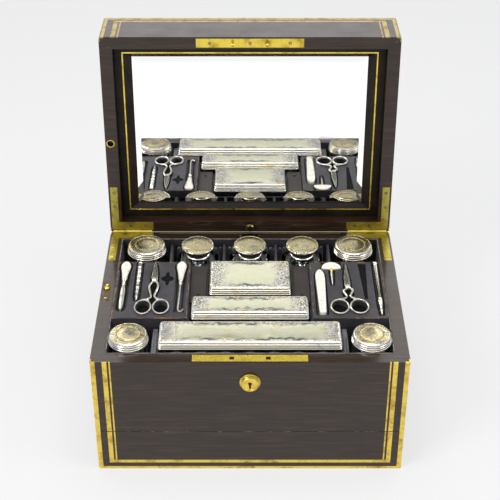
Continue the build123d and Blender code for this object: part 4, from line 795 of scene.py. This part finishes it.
HANDLE = [
    (49, 0), (48.8, 1.3), (47.9, 2.9), (46.2, 4.3), (44, 5.05), (41.8, 5.2), (39, 5), (35, 4.4),
    (30, 3.6), (25, 3), (20.5, 2.6), (17.6, 2.5), (17.6, 0)]
FERRULE = [
    (18.4, 0), (18.4, 2.65), (17.6, 2.8), (16.9, 2.5), (16.2, 2), (15.4, 2.2), (14.8, 1.9),
    (12.6, 1.7), (11.9, 2.1), (11.2, 1.7), (9.6, 1.6), (8.8, 1.9), (8, 1.5), (8, 0)]
for tool, x in (("nail_file", FILE_X), ("button_hook", HOOK_X)):
    mesh = turn_along(HANDLE, x, BED_HEIGHT + 2.2, 2.15)
    make_piece(tool + "_handle", mesh, [pearl], tool, [tool])
    mesh = turn_along(FERRULE, x, BED_HEIGHT + 2.2, 2.1)
    make_piece(tool + "_ferrule", mesh, [plain_silver], tool)

mesh = bmesh.new()
add_block(mesh, (4.4, 43.5, 1.3), (FILE_X, -13.2, BED_HEIGHT + 1.8))
for cut in (4, -2, -26, -31.5):
    cut_across(mesh, (0, cut * MM, 0), (0, 1, 0))
# the share of the full width that is left below each place along Y
PINCHES = ((-34, 0.05), (-31, 0.62), (-25, 0.9), (3, 1), (8, 0.75), (99, 0.5))
for vert in mesh.verts:
    share = next(share for limit, share in PINCHES if vert.co.y / MM < limit)
    vert.co.x = FILE_X * MM + (vert.co.x - FILE_X * MM) * share
round_off(mesh, mesh.edges[:], 0.25)
make_piece("nail_file_blade", mesh, [steel], "nail_file")


def add_wire(mesh, points, closed=False):
    """Round wire along points of (x, y, z, radius)."""
    curve = bpy.data.curves.new("wire", "CURVE")
    curve.dimensions = "3D"
    curve.bevel_depth = 1 * MM
    curve.bevel_resolution = 3
    line = curve.splines.new("NURBS")
    line.points.add(len(points) - 1)
    for point, (x, y, z, radius) in zip(line.points, points):
        point.co = (x * MM, y * MM, z * MM, 1)
        point.radius = radius
    line.order_u, line.use_endpoint_u, line.use_cyclic_u = 3, not closed, closed
    bent = add_object("wire", curve)
    solid = bent.evaluated_get(bpy.context.evaluated_depsgraph_get())
    mesh.from_mesh(bpy.data.meshes.new_from_object(solid))
    bpy.data.objects.remove(bent)
    bmesh.ops.holes_fill(mesh, edges=mesh.edges, sides=0)


HOOK = [
    (HOOK_X, 9, 2, 0.95), (-71.6, -8, 2, 0.95), (-72, -24, 2, 0.9), (-72.3, -31, 1.9, 0.9),
    (-71.6, -36.2, 1.8, 0.85), (-69.6, -36.6, 1.8, 0.8), (-67.6, -34.6, 1.8, 0.75),
    (-67.2, -32.4, 1.8, 0.6)]
mesh = bmesh.new()
add_wire(mesh, [(x, y, BED_HEIGHT + z, radius) for x, y, z, radius in HOOK])
make_piece("button_hook_shank", mesh, [steel], "button_hook")
print("nail file and button hook")

# %% [markdown]
# ## Pencils and piercer
# The chased pencil case is a run of beads and waisted collars. The plain one is a long tube with
# a crown at one end and a stepped point at the other. The piercer has a half moon of pearl for a
# handle, a gilt ring and a tapering steel shank. The penknife's pearl is held by three pins.

# %% Pencils, piercer and penknife pins
BEADS = [
    (48, 0), (48, 1.6), (47.2, 2.3), (46.2, 2.4), (45.4, 1.7), (44.6, 2.2), (40, 2), (39.4, 2.4),
    (38.6, 2.4), (38, 1.6), (36.6, 1.7), (34, 2.35), (31.4, 1.7), (30.6, 2.3), (29.6, 2.3),
    (28.8, 1.5), (26, 2.2), (23.6, 1.5), (22.8, 2.35), (21.8, 2.35), (21, 1.4), (18.4, 2.1),
    (15.6, 1.4), (14.8, 2.3), (13.8, 2.3), (13, 1.5), (9, 1.9), (4, 1.8), (3.2, 2.2), (2.2, 2.2),
    (1.4, 1.6), (-3, 1.7), (-4, 2.1), (-5, 2.1), (-5.8, 1.5), (-11, 1.3), (-12, 1.7), (-13, 1.2),
    (-18, 0.6), (-18.3, 0)]
TUBE = [
    (47.4, 0), (47.4, 1.5), (46.6, 2.3), (45.4, 2.35), (44.6, 1.7), (43.2, 2.2), (42.2, 1.8),
    (41.4, 1.9), (-16, 1.75), (-16.6, 2.2), (-17.8, 2.3), (-18.6, 1.7), (-20.4, 2.35),
    (-23.4, 2.3), (-25, 1.6), (-26, 2), (-27, 2), (-28, 1.4), (-35, 1.1), (-36, 1.5), (-37, 1.1),
    (-42.4, 0.4), (-42.9, 0)]
for name, profile, x, lift in (("chased_pencil", BEADS, -115, 2.5),
                               ("plain_pencil", TUBE, 131.2, 2.9)):
    make_piece(name + "_case", turn_along(profile, x, BED_HEIGHT + lift), [plain_silver], name,
               [name], crease=50)

PIERCER_X, CROWN_STEPS = 85, 24
outline = [(PIERCER_X + 10.2 * math.cos(math.pi * k / CROWN_STEPS),
            37.6 + 11.2 * math.sin(math.pi * k / CROWN_STEPS), BED_HEIGHT)
           for k in range(CROWN_STEPS + 1)]
outline += [(PIERCER_X - 4, 36.6, BED_HEIGHT), (PIERCER_X + 4, 36.6, BED_HEIGHT)]
mesh = bmesh.new()
extrude_up(mesh, [mesh.faces.new(add_verts(mesh, outline))], 3.2 * MM)
face_outwards(mesh)
round_off(mesh, mesh.edges[:], 0.7, segments=3, profile=0.6)
make_piece("piercer_crown", mesh, [pearl], "piercer", ["piercer"])
RING = [
    (37, 0), (37, 2), (36, 2.2), (35, 1.9), (34.6, 1.4), (33.6, 1.7), (33, 1.3), (33, 0)]
SHANK = [(33.4, 0), (33.4, 1.25), (24, 1.1), (14, 0.6), (9.4, 0.1), (9.2, 0)]
mesh = turn_along(RING, PIERCER_X, BED_HEIGHT + 1.7, 1.65)
make_piece("piercer_ring", mesh, [plate_brass], "piercer")
mesh = turn_along(SHANK, PIERCER_X, BED_HEIGHT + 1.7)
make_piece("piercer_shank", mesh, [steel], "piercer")

mesh = bmesh.new()
for y in (27.5, -4, -37.5):
    add_stud(mesh, (72.4, y, BED_HEIGHT + 4.6), 0.75, 0.6, 0.4, 14)
make_piece("penknife_pins", mesh, [steel], "penknife")
print("pencils, piercer, pins")

# %% [markdown]
# ## Scissors
# Each half is a flat blade, a shank bent like a wishbone, a small collar and a thin oval bow.
# The flat tops take a darker steel than the bevels and sides. The lower half carries the rivet.

# %% Scissors
BOW_ALONG, PANEL_HEIGHT = 11.8, 140.3


def add_half(mesh, pivot, side, low, blade, bow_x, bow_y, across):
    """One half of a pair of scissors. Its side is -1 or 1, and blade is a length."""
    def placed(x, y, *rest):
        return (pivot[0] + side * x, pivot[1] + y, *rest)

    outline = [(1.9, -3), (-2.2, -1.6), (-3.1, 2), (-2.9, blade * 0.4), (-1.7, blade * 0.75),
               (-0.2, blade), (0.8, blade * 0.6), (1.7, blade * 0.25), (2.7, 1)]
    flat = mesh.faces.new(add_verts(mesh, [placed(x, y, low) for x, y in outline]))
    extrude_up(mesh, [flat], 1.5 * MM)
    face_outwards(mesh)
    rims = [e for e in mesh.edges if min(v.co.z for v in e.verts) > (low + 1) * MM]
    round_off(mesh, rims, 0.75, segments=1)
    for face in mesh.faces:
        face.material_index = 1 if face.normal.z > 0.95 else 0
    top = bow_y + BOW_ALONG
    neck = top + 5.2
    rise = low + (0.9 if side < 0 else 0.8)
    level = PANEL_HEIGHT + 1.65 + (0.3 if side > 0 else 0)
    shank = [(1.6, -1.2, 0.7), (2.3, -3.6, 1), (4.6, neck * 0.3, 1.2), (4.3, neck * 0.55, 1.2),
             (2.2, neck * 0.85, 1.05), (1.6, neck, 1.05), (3.4, top + 2, 1.1),
             (bow_x - 2.4, top + 0.4, 0.9)]
    collar = [(bow_x - 5.6, top - 0.9, 0.5), (bow_x - 3, top + 0.1, 1.25),
              (bow_x + 0.2, top + 0.1, 0.9), (bow_x + 1.4, top + 0.5, 0.5)]
    add_wire(mesh, [placed(x, y, rise + (level - rise) * k / 7, radius)
                    for k, (x, y, radius) in enumerate(shank)])
    add_wire(mesh, [placed(x, y, level, radius) for x, y, radius in collar])
    bow = oval(*placed(bow_x, bow_y), across - 0.4, BOW_ALONG - 0.4, 24)
    add_wire(mesh, [(x, y, level, 0.85) for x, y in bow], closed=True)


# pair: pivot, then the blade's length, the bow's place from the pivot and its half width
PAIRS = {"left": ((-98.4, 14.7), 34.5, 9, -46, 8.4),
         "right": ((99.9, 2.6), 43.5, 9.8, -33.2, 9.3)}
for name, (pivot, *sizes) in PAIRS.items():
    for half, side, low in (("lower", -1, PANEL_HEIGHT), ("upper", 1, PANEL_HEIGHT + 1.8)):
        mesh = bmesh.new()
        add_half(mesh, pivot, side, low, *sizes)
        if half == "lower":
            add_stud(mesh, (*pivot, PANEL_HEIGHT + 3.7), 2.1, 1.7, 0.5, 20)
        body = f"scissors_{name}_{half}"
        make_piece(body + "_steel", mesh, [steel, darker_top_steel], body, [body])
print("two pairs of scissors")

# %% [markdown]
# ## Dark beds
# The beds of the tools are lined with black velvet. It shows where the fingers reach under the
# scissors' bows, and in the two beds whose tools are gone: a butterfly and a tapering slot.
# Round each tool a thin black ring just above the leather is painted shadow, for the shaded gap of
# its bed.

# %% Velvet and painted shadow in the beds
POOL, WELL = 140.04, 135.68     # just above the leather, and on the floor of the deep wells


def both_sides(x, outline, grow=0):
    return ([(x + r + grow, y) for y, r in outline]
            + [(x - r - grow, y) for y, r in reversed(outline)])


# The ring round each tool is painted shadow, in the black of the velvet.
def add_shadow_line(mesh, x, outline):
    inner, outer = (add_verts(mesh, [(px, py, POOL) for px, py in both_sides(x, outline, grow)])
                    for grow in (-0.4, 0.9))
    for a, b, c, d in zip(inner, outer, outer[1:] + outer[:1], inner[1:] + inner[:1]):
        mesh.faces.new((a, b, c, d))


SPOON = [
    (50.2, 1.2), (48.6, 4.3), (45.5, 6.1), (41.8, 6.4), (37, 5.9), (30, 4.6), (20, 3.6), (8, 3.2)]
LEFT_RIMS = (
    (FILE_X, SPOON + [(-26, 3.4), (-34.5, 2.8), (-36.4, 1.2)]),
    (HOOK_X, SPOON + [(-27, 2.8), (-33, 3.4), (-38.2, 4.6)]),
    (-115, [(49.2, 3.4), (-12, 3.3), (-19.4, 1.8)]))
LEFT_POOLS = (
    (both_sides(-98.4, [(51.6, 0.9), (42, 3), (29, 4.6), (13, 4.8), (6, 6.4), (0, 6.2),
                        (-9, 4.2), (-15, 3.2), (-20.3, 5.4), (-26, 0.5)]), POOL),
    (oval(-85.3, 20, 6.6, 5), POOL), (oval(-85.3, 20, 2.5, 12.2), POOL + 0.02),
    (oval(-107.4, -31.3, 7.4, 10.8), WELL), (oval(-89.4, -31.3, 7.4, 10.8), WELL))
RIGHT_RIMS = (
    (72.4, [(34.3, 1.8), (31, 4.6), (25, 5.7), (-41, 5.5), (-43.2, 4.4)]),
    (PIERCER_X, [(49.9, 2), (47, 7.2), (42, 10), (36.6, 11), (35.4, 9), (35, 2.6), (14, 2.2),
                 (7.6, 1.2)]),
    (131.2, [(48.6, 3.4), (-28, 3.3), (-43.8, 1.4)]))
RIGHT_POOLS = (
    ([(113, 46.6), (121.4, 46.6), (119.3, -15.6), (116.2, -15.6)], POOL),
    (both_sides(99.9, [(47.8, 0.9), (38, 3), (20, 4.6), (0, 4.8), (-5, 6.4), (-10, 6),
                       (-15, 3.4), (-19.5, 6), (-26, 0.5)]), POOL),
    (oval(90.1, -30.6, 8.3, 10.8), WELL), (oval(109.7, -30.6, 8.3, 10.8), WELL))
for side, rims, pools in (("left", LEFT_RIMS, LEFT_POOLS), ("right", RIGHT_RIMS, RIGHT_POOLS)):
    mesh = bmesh.new()
    for x, outline in rims:
        add_shadow_line(mesh, x, outline)
    for outline, z in pools:
        mesh.faces.new(add_verts(mesh, [(x, y, z) for x, y in outline]))
    face_up(mesh)
    make_piece("bed_velvet_and_shadow_" + side, mesh, [velvet], "tool_panel_" + side)
print("velvet beds")

# %% [markdown]
# ## Small brass and the drawer's worn edge
# A brass ring lines the hole in the lid's rim that takes the release button. The top edge of
# the drawer has lost its polish, and shows as a broken pale line.

# %% Socket ring and worn drawer edge
SOCKET_X, SOCKET_Y = -146.9, 6.0
SOCKET = [(3.3, 139.6), (3.35, 137.45), (3.8, 137.3), (4.4, 137.34), (4.4, 139.6)]
mesh = spin_line([(SOCKET_X + r, SOCKET_Y, z) for r, z in SOCKET], (SOCKET_X, SOCKET_Y, 0),
                 (0, 0, 1), 40)
make_piece("socket_ring", mesh, [plate_brass], "lid")

mesh = bmesh.new()
bmesh.ops.create_grid(mesh, x_segments=60, y_segments=1, size=0.5)
bmesh.ops.rotate(mesh, verts=mesh.verts, matrix=Matrix.Rotation(math.radians(90), 3, "X"))
bmesh.ops.scale(mesh, verts=mesh.verts, vec=(292 * MM, 1, 0.55 * MM))
bmesh.ops.translate(mesh, verts=mesh.verts, vec=scaled((0, -113.06, 49.35)))
make_piece("drawer_worn_edge", mesh, [rubbed_line], "drawer")
print("socket ring, drawer edge")

# %% [markdown]
# ## Cut edges of the glass
# Under each lid's front the glass has groups of small mitre cuts. Each cut is a thin pyramid of
# four facets with a pale half-metal finish in place of glass: painted glints that read as sparkle.

# %% Mitre cuts
CUT_GROUPS = {"box_front": (7, 23.5), "box_middle": (4, 26), "box_back": (3, 24)}
CUTS = ((-3.6, 2), (-1.8, 3), (0, 3.6), (1.8, 3), (3.6, 2))   # place, height
CUT_LEVEL, CUT_HALF, CUT_PROUD = 133.2, 0.75, 0.45
for name, (groups, spacing) in CUT_GROUPS.items():
    length, width, y = BOXES[name]
    front = y - width / 2
    mesh = bmesh.new()
    for k in range(groups):
        for shift, tall in CUTS:
            x = (k - (groups - 1) / 2) * spacing + shift
            corners = add_verts(mesh, [
                (x + dx, front, CUT_LEVEL + dz * tall / 2)
                for dx, dz in ((-CUT_HALF, 0), (0, -1), (CUT_HALF, 0), (0, 1))])
            peak, = add_verts(mesh, [(x, front - CUT_PROUD, CUT_LEVEL)])
            for a, b in zip(corners, corners[1:] + corners[:1]):
                mesh.faces.new((a, b, peak))
    face_outwards(mesh)
    make_piece(name + "_mitre_cuts", mesh, [painted_glint_cut], name + "_glass", crease=5)
    print(name, groups * len(CUTS), "cuts")

# %% [markdown]
# ## Pleats and rolls
# Stuffed satin rolls stand along the back wall, and a pair of them on each side of the front
# box. Each roll pulls in at its ends and stitches, and no two are quite alike.

# %% Stuffed rolls
chance = random.Random(11)
HALF_TURN = [math.pi * j / 10 for j in range(11)]
ROLL_FOOT = 56.2


def add_roll(mesh, rings):
    grown = [add_verts(mesh, ring) for ring in rings]
    for low, high in zip(grown, grown[1:]):
        for k in range(len(low)):
            mesh.faces.new((low[k - 1], low[k], high[k], high[k - 1]))
    mesh.faces.new(grown[0])
    mesh.faces.new(grown[-1])


PLEATS, PLEAT_PITCH, PLEAT_DEPTH, PLEAT_TOP, WELL_BACK = 32, 5, 1.9, 127.9, 98.45
mesh = bmesh.new()
for k in range(PLEATS):
    x = (k - (PLEATS - 1) / 2) * PLEAT_PITCH
    top, plump = PLEAT_TOP - chance.uniform(0, 1.6), chance.uniform(0.86, 1)
    rings = []
    for z, full in ((ROLL_FOOT, 0.9), (92, 1), (112, 1), (top - 5, 1),
                    (top - 2.6, 0.95), (top - 1.2, 0.8), (top - 0.4, 0.55), (top, 0.25)):
        half = (PLEAT_PITCH / 2 - 0.06) * full * plump
        deep = PLEAT_DEPTH * full * plump
        lean = chance.uniform(-0.12, 0.12)
        rings.append([(x + lean + half * math.cos(a), WELL_BACK - deep * math.sin(a), z)
                      for a in HALF_TURN])
    add_roll(mesh, rings)
face_outwards(mesh)
pleats = make_piece("pleated_back_padding", mesh, [satin], "case", ["padded_linings"])

ROLL_X, ROLL_FRONT, ROLL_LENGTH = 93.4, -98.4, 49.5
ROLL_RADIUS, ROLL_TOP, ROLL_STEPS = 1.45, 129.4, 24
for side, east in (("left", -1), ("right", 1)):
    mesh = bmesh.new()
    for pair in (-1, 1):
        rings = []
        for k in range(ROLL_STEPS + 1):
            along = k / ROLL_STEPS
            bulge = max(math.sin(math.pi * along), 0) ** 0.45
            stitch = 1 - 0.12 * max(0, math.cos(math.tau * 3 * along)) ** 6
            half = ROLL_RADIUS * (0.62 + 0.38 * bulge) * stitch * chance.uniform(0.95, 1)
            top = ROLL_TOP + 0.3 * bulge - (1 - bulge) * 2.2 + (stitch - 1) * 6
            x, y = east * ROLL_X + pair * (1.5 - 0.35 * along), ROLL_FRONT + ROLL_LENGTH * along
            arch = [(x + half * math.cos(a), y, top + half * math.sin(a)) for a in HALF_TURN]
            rings.append(arch + [(x - half, y, ROLL_FOOT), (x + half, y, ROLL_FOOT)])
        add_roll(mesh, rings)
    face_outwards(mesh)
    rolls = make_piece("stuffed_rolls_" + side, mesh, [satin], "case")
print(PLEATS, "pleats, two pairs of rolls")

# %% [markdown]
# ## Brass along the hinge line
# A thin brass bead covers the joint between the two stop hinges, so that the veneer doesn't chip
# when the lid comes down.

# %% Hinge line
mesh = bmesh.new()
add_block(mesh, (198, 1.3, 0.24), (0, 110.3, 137.12))
round_off(mesh, mesh.edges[:], 0.08)
make_piece("hinge_line_bead", mesh, [hinge_brass], "case")
print("hinge line")

# %% [markdown]
# ## Mitred corners
# The rims are mitred in front. A pale hairline shows where the veneer has shrunk from each joint.

# %% Mitre lines
HAIR = 0.16     # half the hairline's width
for body, z, up in (("case", 137.03, 1), ("lid", 137.37, -1)):
    mesh = bmesh.new()
    for east in (-1, 1):
        a, b = Vector((east * 151.2, -111.7, z)), Vector((east * 141.6, -102.1, z))
        aside = Vector((1, east, 0)).normalized() * HAIR
        mesh.faces.new(add_verts(mesh, (a - aside, b - aside, b + aside, a + aside)))
    face_up(mesh, up)
    make_piece("mitre_lines_" + body, mesh, [rubbed_line], body)
print("mitre lines")
